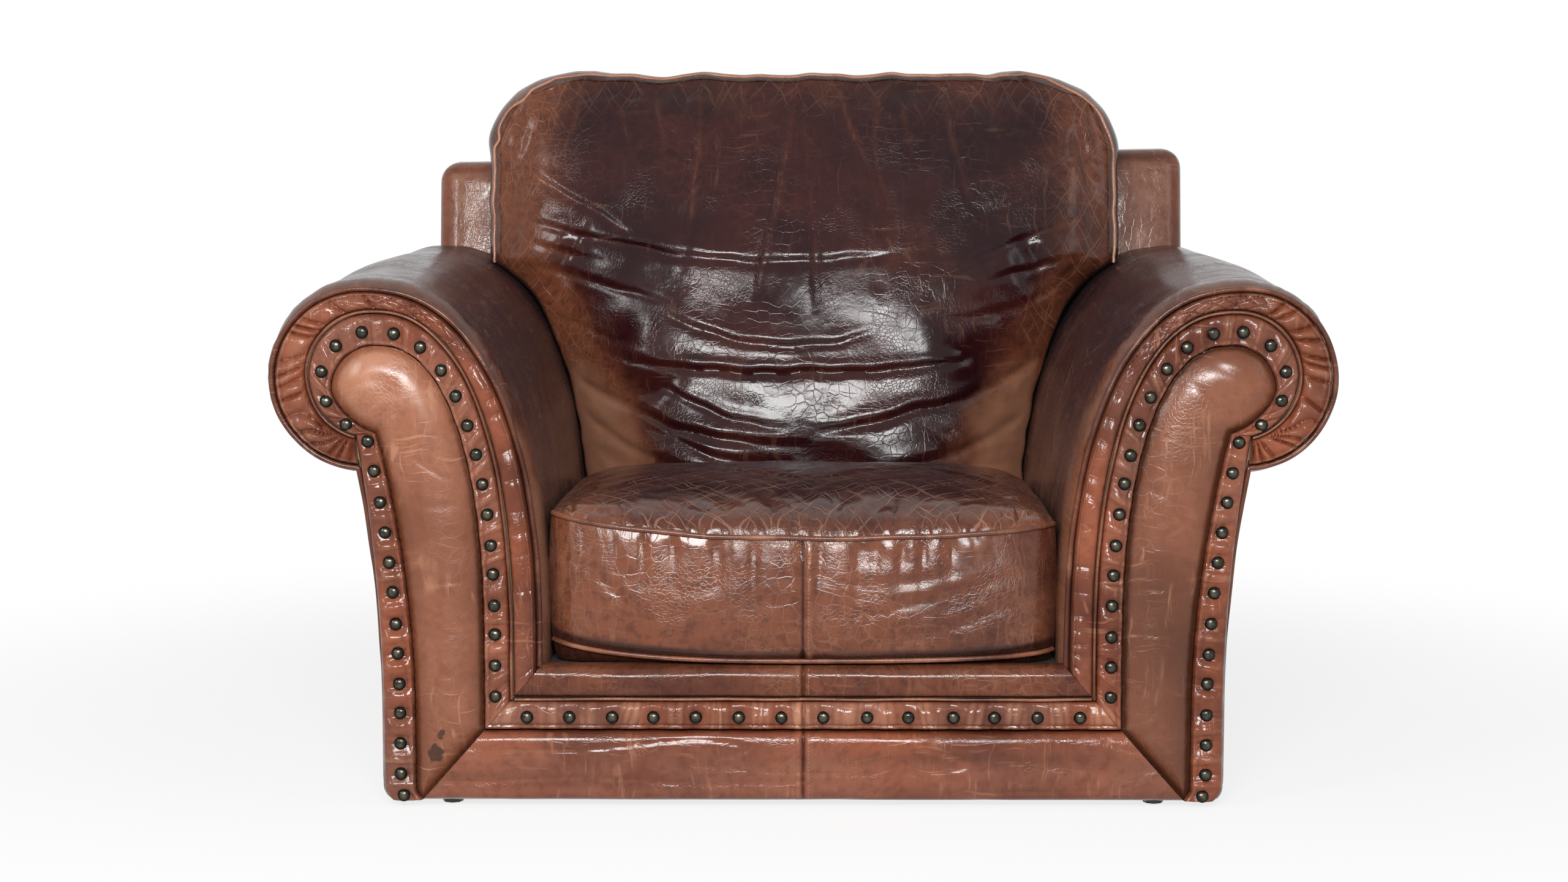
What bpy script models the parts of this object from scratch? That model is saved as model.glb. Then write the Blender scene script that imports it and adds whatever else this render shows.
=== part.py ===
"""A worn leather club chair: scrolled arms with nail borders, a loose seat cushion and a pillow back.

Metres, +Z up. The chair faces -Y, and its origin is on the floor under the middle of its box.
Left and right are as the picture shows them: left is -X.
"""

import math

import bmesh
import bpy
from mathutils import Matrix, Vector

# The whole chair
DEPTH = 0.98
GLIDE_HEIGHT = 0.008
CLEARANCE = 0.0004

# The arm fronts, seen from the front
SEAT_WIDTH = 0.612
SPRING_LINE = 0.200
CROWN_POWER = 2.35
HEAD_HEIGHT = 0.506
HEAD_RADIUS = 0.1085
HEAD_OUT = 0.209
FOOT_WIDTH = 0.190
WAIST_LINE = 0.110
NOTCH_ANGLE = -87.0

# The bands that run round an arm front, from the edge inwards
BORDER_HEAD = 0.034
BORDER_SIDE = 0.036
BORDER_SHIFT = (-0.012, 0.004)
STRIP_HEAD = 0.0225
STRIP_SIDE = 0.033
STRIP_FOOT = 0.040
STRIP_SHIFT = (-0.0055, -0.0175)
STRIP_NOTCH_ANGLE = -75.0
PANEL_NOTCH_ANGLE = -90.0
PANEL_FLATTENING = 0.15
FLATTENED_ARC = 100.0
MITRE_TOP = 0.170
MITRE_SLOPE = 1.135

# Thicknesses at the front
PAD_BACK = 0.024
EDGE_RISE = 0.016
BORDER_RISE = 0.021
BORDER_EDGE_RISE = 0.010
PANEL_RISE = 0.025
PLEAT_DEPTH = 0.0022
WELT_RADIUS = 0.0035

# How finely the lines of an arm are followed: the side, the scroll, the shoulder, the seat side
SIDE_STEPS = 5
HEAD_STEPS = 12
CROWN_STEPS = 9
SEAT_STEPS = 1

# Nails
NAIL_RADIUS = 0.0076
NAIL_RISE = 0.0045
NAILED_SHARES = (0.0, 0.19, 0.81, 1.0)
NAIL_SHARE = 0.45
FIRST_NAIL = 0.0085
SECOND_NAIL = 0.035
LAST_NAIL = 0.024
ARM_NAILS = 32
APRON_NAILS = 14
APRON_NAIL_PITCH = 0.050

# The arm cover and what stiffens it
ROLL_PUFF = 0.006
ROLL_WALL = 0.018
ARM_WALL_FOOT = 0.150
BOARD_THICKNESS = 0.018
BACK_PANEL_THICKNESS = 0.012
RAIL_THICKNESS = 0.025
RAIL_FOOT = 0.0101
ARM_RAIL_HEIGHT = 0.060

# The seat
FRONT_RAIL_TOP = 0.141
SIDE_RAIL_TOP = 0.1495
SEAT_RAIL_BACK = 0.260
SPRING_WIRE = 0.002
SPRING_COUNT = 4
SPRING_SPREAD = 0.130
SPRING_SWING = 0.028
SPRING_BENDS = 9
SPRING_FLAT = 0.6
DECK_THICKNESS = 0.0215
CUSHION_FRONT = -0.4780
CUSHION_BACK = 0.112
CUSHION_SEAM = 0.321
CUSHION_FOOT_SEAM = 0.183
CUSHION_CROWN = 0.056
CUSHION_BELLY = 0.010
CUSHION_BOW = 0.016
CUSHION_CORNER = 0.030
SEAM_CHAMFER = 0.006

# The back
BACK_WIDTH = 1.062
BACK_TOP = 0.758
BACK_THICKNESS = 0.130
BACK_RAKE = 9.0
BACK_ROUNDING = 0.034
COVER_WALL = 0.020
WINDOW_HALF = 0.400
WINDOW_TOP = 0.690
POST_INSIDE = 0.440
POST_WIDTH = 0.050
POST_DEPTH = 0.045
TOP_RAIL_HEIGHT = 0.060
BACK_RAIL_HEIGHT = 0.060
TACK_RAIL_FOOT = 0.170
TACK_RAIL_HEIGHT = 0.040
WEBBING_HEIGHTS = (0.30, 0.42, 0.54)
WEBBING_WIDTH = 0.050
WEBBING_THICKNESS = 0.002
POST_SHORT = 0.012

# The pillow of the back
PILLOW_HALF = 0.438
PILLOW_TOP = 0.870
PILLOW_CORNER = 0.085
PILLOW_EDGE = 0.125
PILLOW_CROWN = 0.060
PILLOW_GAP = 0.0015
PILLOW_LIFT = 0.008
PILLOW_COLUMNS = 24
PILLOW_ROWS = 16
CORNER_TURNS = (0.35, 0.80, 1.25)
WELT_START = 0.605
# height in the middle, rise towards the sides, share of the width reached, depth
SWAGS = (
    (0.385, 0.105, 0.95, 0.008),
    (0.425, 0.150, 1.00, 0.010),
    (0.482, 0.060, 0.50, 0.009),
)
# place across, height of the lower end, depth
CREASES = ((-0.130, 0.66, 0.004), (-0.025, 0.53, 0.006), (0.050, 0.55, 0.005), (0.135, 0.68, 0.004))
FOLD_WIDTH = 0.016

FRONT = -DEPTH / 2
BACK = DEPTH / 2
STRIP_Y = FRONT + NAIL_RISE
BOARD_Y = STRIP_Y + PAD_BACK
SEAT_HALF = SEAT_WIDTH / 2
HEAD_X = SEAT_HALF + HEAD_OUT
FOOT_X = SEAT_HALF + FOOT_WIDTH
RAKE = math.tan(math.radians(BACK_RAKE))
FRAME_FRONT = COVER_WALL + WEBBING_THICKNESS + 3 * CLEARANCE
DECK_FOOT = FRONT_RAIL_TOP + 2 * SPRING_WIRE + 2 * CLEARANCE
DECK_TOP = DECK_FOOT + DECK_THICKNESS
PILLOW_FOOT = DECK_TOP + CLEARANCE
SEAM_OFFSET = WELT_RADIUS + CLEARANCE
COVER_FOOT = GLIDE_HEIGHT
DUST_COVER_FOOT = GLIDE_HEIGHT + CLEARANCE
DUST_COVER_TOP = RAIL_FOOT - CLEARANCE

LEATHER = ((0.30, 0.115, 0.055), 0.38, 0.0)
DARK_LEATHER = ((0.13, 0.045, 0.028), 0.32, 0.0)
PALE_LEATHER = ((0.40, 0.185, 0.10), 0.42, 0.0)
HARDWOOD = ((0.55, 0.38, 0.22), 0.6, 0.0)
SPRING_STEEL = ((0.35, 0.35, 0.37), 0.4, 0.9)
WEBBING = ((0.10, 0.10, 0.10), 0.9, 0.0)
CLOTH = ((0.05, 0.05, 0.05), 0.95, 0.0)
GLIDE_PLASTIC = ((0.06, 0.05, 0.04), 0.5, 0.0)

SIDES = (("left", -1), ("right", 1))


# Scene


def clear_scene():
    for thing in list(bpy.data.objects):
        bpy.data.objects.remove(thing)


def new_collection(name):
    collection = bpy.data.collections.new(name)
    bpy.context.scene.collection.children.link(collection)
    return collection


def material(name, finish):
    found = bpy.data.materials.get(name)
    if found:
        return found
    colour, roughness, metallic = finish
    made = bpy.data.materials.new(name)
    made.use_nodes = True
    shader = made.node_tree.nodes["Principled BSDF"]
    shader.inputs["Base Color"].default_value = (*colour, 1.0)
    shader.inputs["Roughness"].default_value = roughness
    shader.inputs["Metallic"].default_value = metallic
    return made


def place(name, data, finish, smooth=True):
    """An object of the chair, with its own material."""
    made = bpy.data.objects.new(name, data)
    CHAIR.objects.link(made)
    data.materials.append(material(name, finish))
    if smooth and isinstance(data, bpy.types.Mesh):
        data.shade_smooth()
        data.set_sharp_from_angle(angle=math.radians(40))
    return made


def cutter(name, data):
    """A guide for a Boolean, which isn't part of the chair."""
    made = bpy.data.objects.new(name, data)
    CUTTERS.objects.link(made)
    made.hide_render = True
    made.display_type = "WIRE"
    return made


def boolean(target, tool, operation):
    change = target.modifiers.new(tool.name, "BOOLEAN")
    change.operation = operation
    change.object = tool


def to_mesh(name, work):
    bmesh.ops.recalc_face_normals(work, faces=work.faces)
    mesh = bpy.data.meshes.new(name)
    work.to_mesh(mesh)
    work.free()
    return mesh


def loft(name, rings):
    """A closed solid through rings of points, each ring with the same number."""
    work = bmesh.new()
    rows = [[work.verts.new(point) for point in ring] for ring in rings]
    for row, following in zip(rows, rows[1:]):
        for here in range(len(row)):
            after = (here + 1) % len(row)
            work.faces.new((row[here], row[after], following[after], following[here]))
    work.faces.new(rows[0])
    work.faces.new(rows[-1])
    bmesh.ops.triangulate(work, faces=[face for face in work.faces if len(face.verts) > 4])
    return to_mesh(name, work)


def block(name, low, high, raked=False):
    """A box between two corners. A raked one leans back with the chair's back."""
    size = Vector(high) - Vector(low)
    middle = (Vector(high) + Vector(low)) / 2
    work = bmesh.new()
    bmesh.ops.create_cube(work, size=1.0, matrix=Matrix.Translation(middle) @ Matrix.Diagonal((*size, 1)))
    if raked:
        lean_back(work)
    return to_mesh(name, work)


def lean_back(work):
    """Turns y from a distance behind the front plane of the back into a place in the chair."""
    for corner in work.verts:
        corner.co.y += back_plane(corner.co.z)


def rod(name, points, radius, finish, resolution=2, cyclic=False):
    """A round tube or wire through points."""
    curve = bpy.data.curves.new(name, "CURVE")
    curve.dimensions = "3D"
    curve.bevel_depth = radius
    curve.bevel_resolution = resolution
    curve.use_fill_caps = not cyclic
    line = curve.splines.new("POLY")
    line.points.add(len(points) - 1)
    for target, point in zip(line.points, points):
        target.co = (*point, 1.0)
    line.use_cyclic_u = cyclic
    return place(name, curve, finish, smooth=False)


def steps(low, high, count):
    return [low + (high - low) * step / count for step in range(count + 1)]


def back_plane(z):
    """How far back the front plane of the back frame lies at a height."""
    return BACK - BACK_THICKNESS - (BACK_TOP - BACK_ROUNDING - z) * RAKE


def mitre_height(x):
    """The height of the seam where an arm front meets the apron."""
    return MITRE_TOP - (x - SEAT_HALF) * MITRE_SLOPE


def mitre_x(z):
    return SEAT_HALF + (MITRE_TOP - z) / MITRE_SLOPE


# The lines of an arm front


class ArmLine:
    """One line of the right arm's front: up the outside, round the scroll and down the seat side."""

    def __init__(self, head_x, head_z, radius, notch_angle, seat_x, foot_x, flattening=0.0):
        self.head_x = head_x
        self.head_z = head_z
        self.radius = radius
        self.notch_angle = notch_angle
        self.seat_x = seat_x
        self.foot_x = foot_x
        self.flattening = flattening

    def grown(self, by):
        """The same line, moved outwards."""
        return ArmLine(
            self.head_x,
            self.head_z,
            self.radius + by,
            self.notch_angle,
            self.seat_x - by,
            self.foot_x + by,
            self.flattening,
        )

    def head(self, degrees):
        """The scroll, 0 degrees at its outermost point. Its lower half may be drawn in."""
        turn = math.radians(degrees)
        drawn_in = self.flattening * math.sin(math.pi * max(0.0, -degrees) / FLATTENED_ARC)
        radius = self.radius * (1 - drawn_in)
        return Vector((self.head_x + radius * math.cos(turn), self.head_z + radius * math.sin(turn)))

    def outside(self, z):
        """The outer side below the scroll, which leans out towards its notch."""
        notch = self.head(self.notch_angle)
        share = max(0.0, (z - WAIST_LINE) / (notch.y - WAIST_LINE))
        return Vector((self.foot_x + (notch.x - self.foot_x) * share**2, z))

    def crown(self, degrees):
        """The shoulder from the seat side, at 0 degrees, up to the top of the scroll, at 90."""
        turn = math.radians(degrees)
        wide = self.head_x - self.seat_x
        high = self.head_z + self.radius - SPRING_LINE
        across = max(0.0, math.cos(turn)) ** (2 / CROWN_POWER)
        up = max(0.0, math.sin(turn)) ** (2 / CROWN_POWER)
        return Vector((self.head_x - wide * across, SPRING_LINE + high * up))

    def seat_side_x(self, z):
        """Where the shoulder is at a height."""
        wide = self.head_x - self.seat_x
        high = self.head_z + self.radius - SPRING_LINE
        share = min(1.0, max(0.0, (z - SPRING_LINE) / high))
        return self.head_x - wide * (1 - share**CROWN_POWER) ** (1 / CROWN_POWER)

    def round_run(self, low):
        """From the notch round the scroll and over the shoulder down to a height on the seat side."""
        head = [self.head(turn) for turn in steps(self.notch_angle, 90, HEAD_STEPS)]
        crown = [self.crown(turn) for turn in steps(90, 0, CROWN_STEPS)]
        seat = [Vector((self.seat_x, z)) for z in steps(SPRING_LINE, low, SEAT_STEPS)]
        return head + crown[1:] + seat[1:]

    def outline(self, outer_foot, seat_foot):
        """From the foot of the outer side all the way round to the foot of the seat side."""
        notch = self.head(self.notch_angle)
        side = [self.outside(z) for z in steps(COVER_FOOT, notch.y, SIDE_STEPS)]
        side[0] = self.outside(outer_foot)
        return side[:-1] + self.round_run(seat_foot)


def folded(chain):
    """Pairs of points across an outline that runs from foot to foot, from the feet up."""
    return [(chain[step], chain[-1 - step]) for step in range(len(chain) // 2)]


FACE = ArmLine(HEAD_X, HEAD_HEIGHT, HEAD_RADIUS, NOTCH_ANGLE, SEAT_HALF, FOOT_X)
BORDER = ArmLine(
    HEAD_X + BORDER_SHIFT[0],
    HEAD_HEIGHT + BORDER_SHIFT[1],
    HEAD_RADIUS - BORDER_HEAD,
    STRIP_NOTCH_ANGLE,
    SEAT_HALF + BORDER_SIDE,
    FOOT_X,
)
PANEL = ArmLine(
    BORDER.head_x + STRIP_SHIFT[0],
    BORDER.head_z + STRIP_SHIFT[1],
    BORDER.radius - STRIP_HEAD,
    PANEL_NOTCH_ANGLE,
    BORDER.seat_x + STRIP_SIDE,
    FOOT_X - STRIP_FOOT,
    PANEL_FLATTENING,
)


def at(point, y, side):
    return Vector((side * point[0], y, point[1]))


def band_ring(inner, outer, back_y, rises, side, shares=None):
    """A cut through a padded band: flat behind, its front raised by the given amounts from edge to edge."""
    ring = [at(inner, back_y, side)]
    for share, rise in zip(shares or steps(0.0, 1.0, len(rises) - 1), rises):
        ring.append(at(inner.lerp(outer, share), back_y - rise, side))
    ring.append(at(outer, back_y, side))
    return ring


def moved_in(points, by):
    """A line moved towards its inner side, which is on the left as the line runs."""
    moved = []
    for step, point in enumerate(points):
        run = points[min(step + 1, len(points) - 1)] - points[max(step - 1, 0)]
        moved.append(point + Vector((-run.y, run.x)).normalized() * by)
    return moved


def ended_on_mitre(points, short=0.0):
    """The same line, its last point brought onto the mitre seam or a little short of it."""
    x = points[-1].x
    return points[:-1] + [Vector((x, mitre_height(x) + CLEARANCE + short))]


# The arms


def arm_border(side_name, side):
    """The gathered leather between the edge welt and the nail strip, pleated round the scroll."""
    outer = FACE.round_run(mitre_height(FACE.seat_x))
    inner = BORDER.round_run(mitre_height(BORDER.seat_x))
    edge = ended_on_mitre(moved_in(outer, 2 * SEAM_OFFSET + CLEARANCE))
    core = ended_on_mitre(moved_in(inner, -SEAM_OFFSET))
    rings = []
    for step, (low, high) in enumerate(zip(core, edge)):
        gathered = 1.0 if step <= HEAD_STEPS + CROWN_STEPS // 2 else 0.25
        pleat = PLEAT_DEPTH * gathered * (1 if step % 2 else -1)
        ridge = BORDER_RISE - PLEAT_DEPTH
        rises = (EDGE_RISE, ridge + pleat, ridge - 0.001 + 1.2 * pleat, BORDER_EDGE_RISE)
        rings.append(band_ring(low, high, BOARD_Y - CLEARANCE, rises, side))
    place(f"arm_border_{side_name}", loft("arm_border", rings), LEATHER)


def strip_lines():
    """The two edges of an arm's nail strip, from the foot round the scroll to the mitre."""
    inner = PANEL.outline(COVER_FOOT, mitre_height(PANEL.seat_x))
    outer = BORDER.outline(COVER_FOOT, mitre_height(BORDER.seat_x))
    edge = moved_in(outer, SEAM_OFFSET)
    edge[:SIDE_STEPS] = moved_in(outer, 2 * SEAM_OFFSET + CLEARANCE)[:SIDE_STEPS]
    return ended_on_mitre(moved_in(inner, -CLEARANCE)), ended_on_mitre(edge)


def along(points, distance):
    """The point at a distance along a chain of points."""
    for here, after in zip(points, points[1:]):
        length = (after - here).length
        if distance <= length:
            return here.lerp(after, distance / length)
        distance -= length
    return points[-1]


def chain_length(points):
    return sum((after - here).length for here, after in zip(points, points[1:]))


def nail_heads(name, places):
    """Domed nail heads as one tool, sunk by half into the leather."""
    work = bmesh.new()
    squash = Matrix.Diagonal((NAIL_RADIUS, NAIL_RADIUS, 2 * NAIL_RISE, 1))
    upright = Matrix.Rotation(math.pi / 2, 4, "X")
    for spot in places:
        seat = Matrix.Translation(Vector((spot.x, STRIP_Y + NAIL_RISE, spot.z)))
        bmesh.ops.create_uvsphere(work, u_segments=8, v_segments=4, radius=1.0, matrix=seat @ upright @ squash)
    return cutter(name, to_mesh(name, work))


def nailed_strip(name, rings, places):
    """A padded strip with its row of nails driven in."""
    strip = place(name, loft(name, rings), LEATHER)
    boolean(strip, nail_heads(f"{name}_heads", places), "UNION")
    return strip


def arm_nail_strip(side_name, side):
    inner, outer = strip_lines()
    rises = (EDGE_RISE, PAD_BACK - CLEARANCE, PAD_BACK - CLEARANCE, EDGE_RISE)
    rings = []
    for low, high in zip(inner, outer):
        rings.append(band_ring(low, high, BOARD_Y - CLEARANCE, rises, side, NAILED_SHARES))
    line = [low.lerp(high, NAIL_SHARE) for low, high in zip(inner, outer)]
    distances = [FIRST_NAIL] + steps(SECOND_NAIL, chain_length(line) - LAST_NAIL, ARM_NAILS - 2)
    places = [at(along(line, distance), 0, side) for distance in distances]
    nailed_strip(f"arm_nail_strip_{side_name}", rings, places)


def arm_panel(side_name, side):
    """The smooth padded panel in the middle of the arm front."""
    chain = PANEL.outline(COVER_FOOT, mitre_height(PANEL.seat_x))
    chain.append(Vector((mitre_x(COVER_FOOT), COVER_FOOT)))
    rings = []
    for outer, inner in folded(moved_in(chain, CLEARANCE)):
        outer.y = max(outer.y, COVER_FOOT)
        inner.y = max(inner.y, COVER_FOOT)
        full = min(1.0, (inner - outer).length / STRIP_SIDE)
        top = EDGE_RISE + (PANEL_RISE - EDGE_RISE) * full
        shoulder = EDGE_RISE + (top - EDGE_RISE) * 0.75
        rises = (EDGE_RISE, shoulder, top, shoulder, EDGE_RISE)
        rings.append(band_ring(outer, inner, BOARD_Y - CLEARANCE, rises, side))
    place(f"arm_panel_{side_name}", loft("arm_panel", rings), PALE_LEATHER)


def arm_welts(side_name, side):
    """The piping at the edge of the arm front and the piping between border and nail strip."""
    edge = moved_in(FACE.outline(COVER_FOOT + WELT_RADIUS, mitre_height(FACE.seat_x)), SEAM_OFFSET)
    edge = ended_on_mitre(edge, WELT_RADIUS)
    border = ended_on_mitre(BORDER.round_run(mitre_height(BORDER.seat_x)), 2 * WELT_RADIUS)
    border[1] = border[1].lerp(border[2], 0.5)
    for name, points, y in (
        ("arm_edge_welt", edge, BOARD_Y - SEAM_OFFSET),
        ("arm_inner_welt", border[1:], BOARD_Y - EDGE_RISE),
    ):
        rod(f"{name}_{side_name}", [at(point, y, side) for point in points], WELT_RADIUS, LEATHER, 1)


def arm_cover(side_name, side):
    """The padded leather of the roll, the inside and the outside of an arm, open below."""
    sections = ((0.0, 0.0), (0.012, 0.85), (0.045, 1.0))
    lines = [FACE.grown(ROLL_PUFF * puff) for depth, puff in sections]
    fronts = [BOARD_Y + depth for depth, puff in sections]
    lining = FACE.grown(ROLL_PUFF - ROLL_WALL)
    outer_runs = [line.outline(COVER_FOOT, ARM_WALL_FOOT) for line in lines]
    rings = []
    for step, inside in enumerate(lining.outline(COVER_FOOT, ARM_WALL_FOOT)):
        ring = [at(outer[step], y, side) for outer, y in zip(outer_runs, fronts)]
        last = outer_runs[-1][step]
        stop = BACK_PANEL_THICKNESS + 2 * CLEARANCE
        ring.append(at(last, back_plane(last.y) - stop, side))
        ring.append(at(inside, back_plane(inside.y) - stop, side))
        ring.append(at(inside, BOARD_Y, side))
        rings.append(ring)
    place(f"arm_cover_{side_name}", loft("arm_cover", rings), DARK_LEATHER)


def side_rail_ends():
    """The two sides of the right side rail, which stands under the inside wall of the arm."""
    lining = FACE.grown(ROLL_PUFF - ROLL_WALL).seat_x
    outer = lining + RAIL_THICKNESS / 3
    return outer - RAIL_THICKNESS, outer


def arm_slab(name, line, side, front, back, finish):
    """A board in the outline of the arm, between two planes that may lean."""
    rings = []
    for outer, inner in folded(line.outline(RAIL_FOOT, RAIL_FOOT)):
        rings.append(
            [
                at(outer, front(outer.y), side),
                at(inner, front(inner.y), side),
                at(inner, back(inner.y), side),
                at(outer, back(outer.y), side),
            ]
        )
    return place(name, loft(name, rings), finish, smooth=False)


def arm_boards(side_name, side):
    """The scroll board at the front, the covered board at the back and the rails between."""
    lining = FACE.grown(ROLL_PUFF - ROLL_WALL - CLEARANCE)
    board_back = BOARD_Y + BOARD_THICKNESS
    arm_slab(f"arm_front_board_{side_name}", lining, side, lambda z: BOARD_Y, lambda z: board_back, HARDWOOD)
    panel = arm_slab(
        f"arm_back_panel_{side_name}",
        FACE.grown(ROLL_PUFF - 2 * CLEARANCE),
        side,
        lambda z: back_plane(z) - BACK_PANEL_THICKNESS - CLEARANCE,
        lambda z: back_plane(z) - CLEARANCE,
        LEATHER,
    )
    reach = side * (side_rail_ends()[1] + CLEARANCE)
    ends = sorted((reach, side * (reach * side - 2 * RAIL_THICKNESS)))
    low = (ends[0], back_plane(0) - 3 * RAIL_THICKNESS, -RAIL_FOOT)
    high = (ends[1], back_plane(SIDE_RAIL_TOP) + RAIL_THICKNESS, SIDE_RAIL_TOP + CLEARANCE)
    boolean(panel, cutter(f"rail_notch_{side_name}", block("rail_notch", low, high)), "DIFFERENCE")
    rail_front = board_back + CLEARANCE
    for name, x, low in (
        ("arm_top_rail", PANEL.head_x, PANEL.head_z - ARM_RAIL_HEIGHT / 2),
        ("arm_base_rail", lining.foot_x - RAIL_THICKNESS / 2 - CLEARANCE, RAIL_FOOT),
    ):
        rail_back = back_plane(low) - BACK_PANEL_THICKNESS - 2 * CLEARANCE
        ends = sorted((side * (x - RAIL_THICKNESS / 2), side * (x + RAIL_THICKNESS / 2)))
        mesh = block(name, (ends[0], rail_front, low), (ends[1], rail_back, low + ARM_RAIL_HEIGHT))
        place(f"{name}_{side_name}", mesh, HARDWOOD, smooth=False)


# The apron across the front


def apron_band(name, low, high, rises, finish, seam=0.0022, across=None):
    """A band of the apron, mitred at both ends and sewn together in the middle."""
    half_low = mitre_x(low) - CLEARANCE
    half_high = mitre_x(high) - CLEARANCE
    shares = (-1, -0.66, -0.33, -0.012, 0, 0.012, 0.33, 0.66, 1)
    rings = []
    for share in shares:
        dip = seam if share == 0 else 0.0
        lower = Vector((half_low * share, low))
        upper = Vector((half_high * share, high))
        rings.append(band_ring(lower, upper, BOARD_Y - CLEARANCE, [rise - dip for rise in rises], 1, across))
    return place(name, loft(name, rings), finish)


def apron():
    """The lower panel, the nail strip with its welt, and the padded lip under the cushion."""
    strip_top = mitre_height(BORDER.seat_x)
    panel_top = mitre_height(PANEL.seat_x)
    rounded = (EDGE_RISE, PANEL_RISE - 0.002, PANEL_RISE, PANEL_RISE - 0.002)
    apron_band("apron_panel", COVER_FOOT, panel_top - CLEARANCE, (*reversed(rounded[1:]), EDGE_RISE), LEATHER)
    apron_band(
        "apron_lip", strip_top + SEAM_OFFSET, MITRE_TOP, (EDGE_RISE, BORDER_RISE, BORDER_RISE - 0.003, 0.006), DARK_LEATHER
    )
    low, high = panel_top + CLEARANCE, strip_top - SEAM_OFFSET
    rises = (EDGE_RISE, PAD_BACK - CLEARANCE, PAD_BACK - CLEARANCE, EDGE_RISE)
    strip = apron_band("apron_nail_strip", low, high, rises, LEATHER, across=NAILED_SHARES)
    places = []
    for nail in range(APRON_NAILS):
        places.append(Vector(((nail - (APRON_NAILS - 1) / 2) * APRON_NAIL_PITCH, 0, (low + high) / 2)))
    boolean(strip, nail_heads("apron_heads", places), "UNION")
    reach = mitre_x(strip_top) - WELT_RADIUS
    ends = [Vector((x, BOARD_Y - EDGE_RISE, strip_top)) for x in (-reach, 0, reach)]
    rod("apron_welt", ends, WELT_RADIUS, LEATHER)


# The frame and the springs


def frame_rails():
    rail_back = BOARD_Y + RAIL_THICKNESS
    between_boards = FACE.grown(ROLL_PUFF - ROLL_WALL).seat_x - CLEARANCE
    side_in, side_out = side_rail_ends()
    boxes = {
        "front_rail": ((-between_boards, BOARD_Y, RAIL_FOOT), (between_boards, rail_back, FRONT_RAIL_TOP)),
        "seat_rear_rail": (
            (-side_in + CLEARANCE, SEAT_RAIL_BACK - RAIL_THICKNESS, RAIL_FOOT),
            (side_in - CLEARANCE, SEAT_RAIL_BACK, FRONT_RAIL_TOP),
        ),
    }
    for name, (low, high) in boxes.items():
        place(name, block(name, low, high), HARDWOOD, smooth=False)
    for side_name, side in SIDES:
        ends = sorted((side * side_in, side * side_out))
        low = (ends[0], rail_back + CLEARANCE, RAIL_FOOT)
        high = (ends[1], back_plane(RAIL_FOOT) + FRAME_FRONT - CLEARANCE, SIDE_RAIL_TOP)
        name = f"side_rail_{side_name}"
        place(name, block(name, low, high), HARDWOOD, smooth=False)
        corner_blocks(side_name, side, side_in)


def corner_blocks(side_name, side, side_in):
    """The glued triangles that brace the seat frame's corners."""
    leg = 0.070
    for place_name, corner_y, inward in (
        ("front", BOARD_Y + RAIL_THICKNESS + CLEARANCE, 1),
        ("rear", SEAT_RAIL_BACK - RAIL_THICKNESS - CLEARANCE, -1),
    ):
        x = side * (side_in - CLEARANCE)
        plan = ((x, corner_y), (x - side * leg, corner_y), (x, corner_y + inward * leg))
        rings = [[(px, py, z) for px, py in plan] for z in (RAIL_FOOT + 0.030, FRONT_RAIL_TOP - 0.030)]
        name = f"corner_block_{place_name}_{side_name}"
        place(name, loft(name, rings), HARDWOOD, smooth=False)


def back_frame():
    """Two raked posts and the rails between them, inside the cover of the back."""
    inside = POST_INSIDE - CLEARANCE
    outside = POST_INSIDE + POST_WIDTH
    post_top = BACK_TOP - COVER_WALL - POST_SHORT
    pieces = {
        "back_bottom_rail": (-inside, inside, RAIL_THICKNESS, RAIL_FOOT, RAIL_FOOT + BACK_RAIL_HEIGHT),
        "back_tack_rail": (-inside, inside, RAIL_THICKNESS, TACK_RAIL_FOOT, TACK_RAIL_FOOT + TACK_RAIL_HEIGHT),
        "back_top_rail": (-inside, inside, RAIL_THICKNESS, post_top - TOP_RAIL_HEIGHT, post_top),
        "back_post_left": (-outside, -POST_INSIDE, POST_DEPTH, RAIL_FOOT, post_top),
        "back_post_right": (POST_INSIDE, outside, POST_DEPTH, RAIL_FOOT, post_top),
    }
    for name, (left, right, depth, low, high) in pieces.items():
        mesh = block(name, (left, FRAME_FRONT, low), (right, FRAME_FRONT + depth, high), raked=True)
        place(name, mesh, HARDWOOD, smooth=False)
    front = COVER_WALL + CLEARANCE
    for count, height in enumerate(WEBBING_HEIGHTS, 1):
        name = f"back_webbing_{count}"
        low = (-outside, front, height)
        high = (outside, front + WEBBING_THICKNESS, height + WEBBING_WIDTH)
        place(name, block(name, low, high, raked=True), WEBBING, smooth=False)


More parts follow.
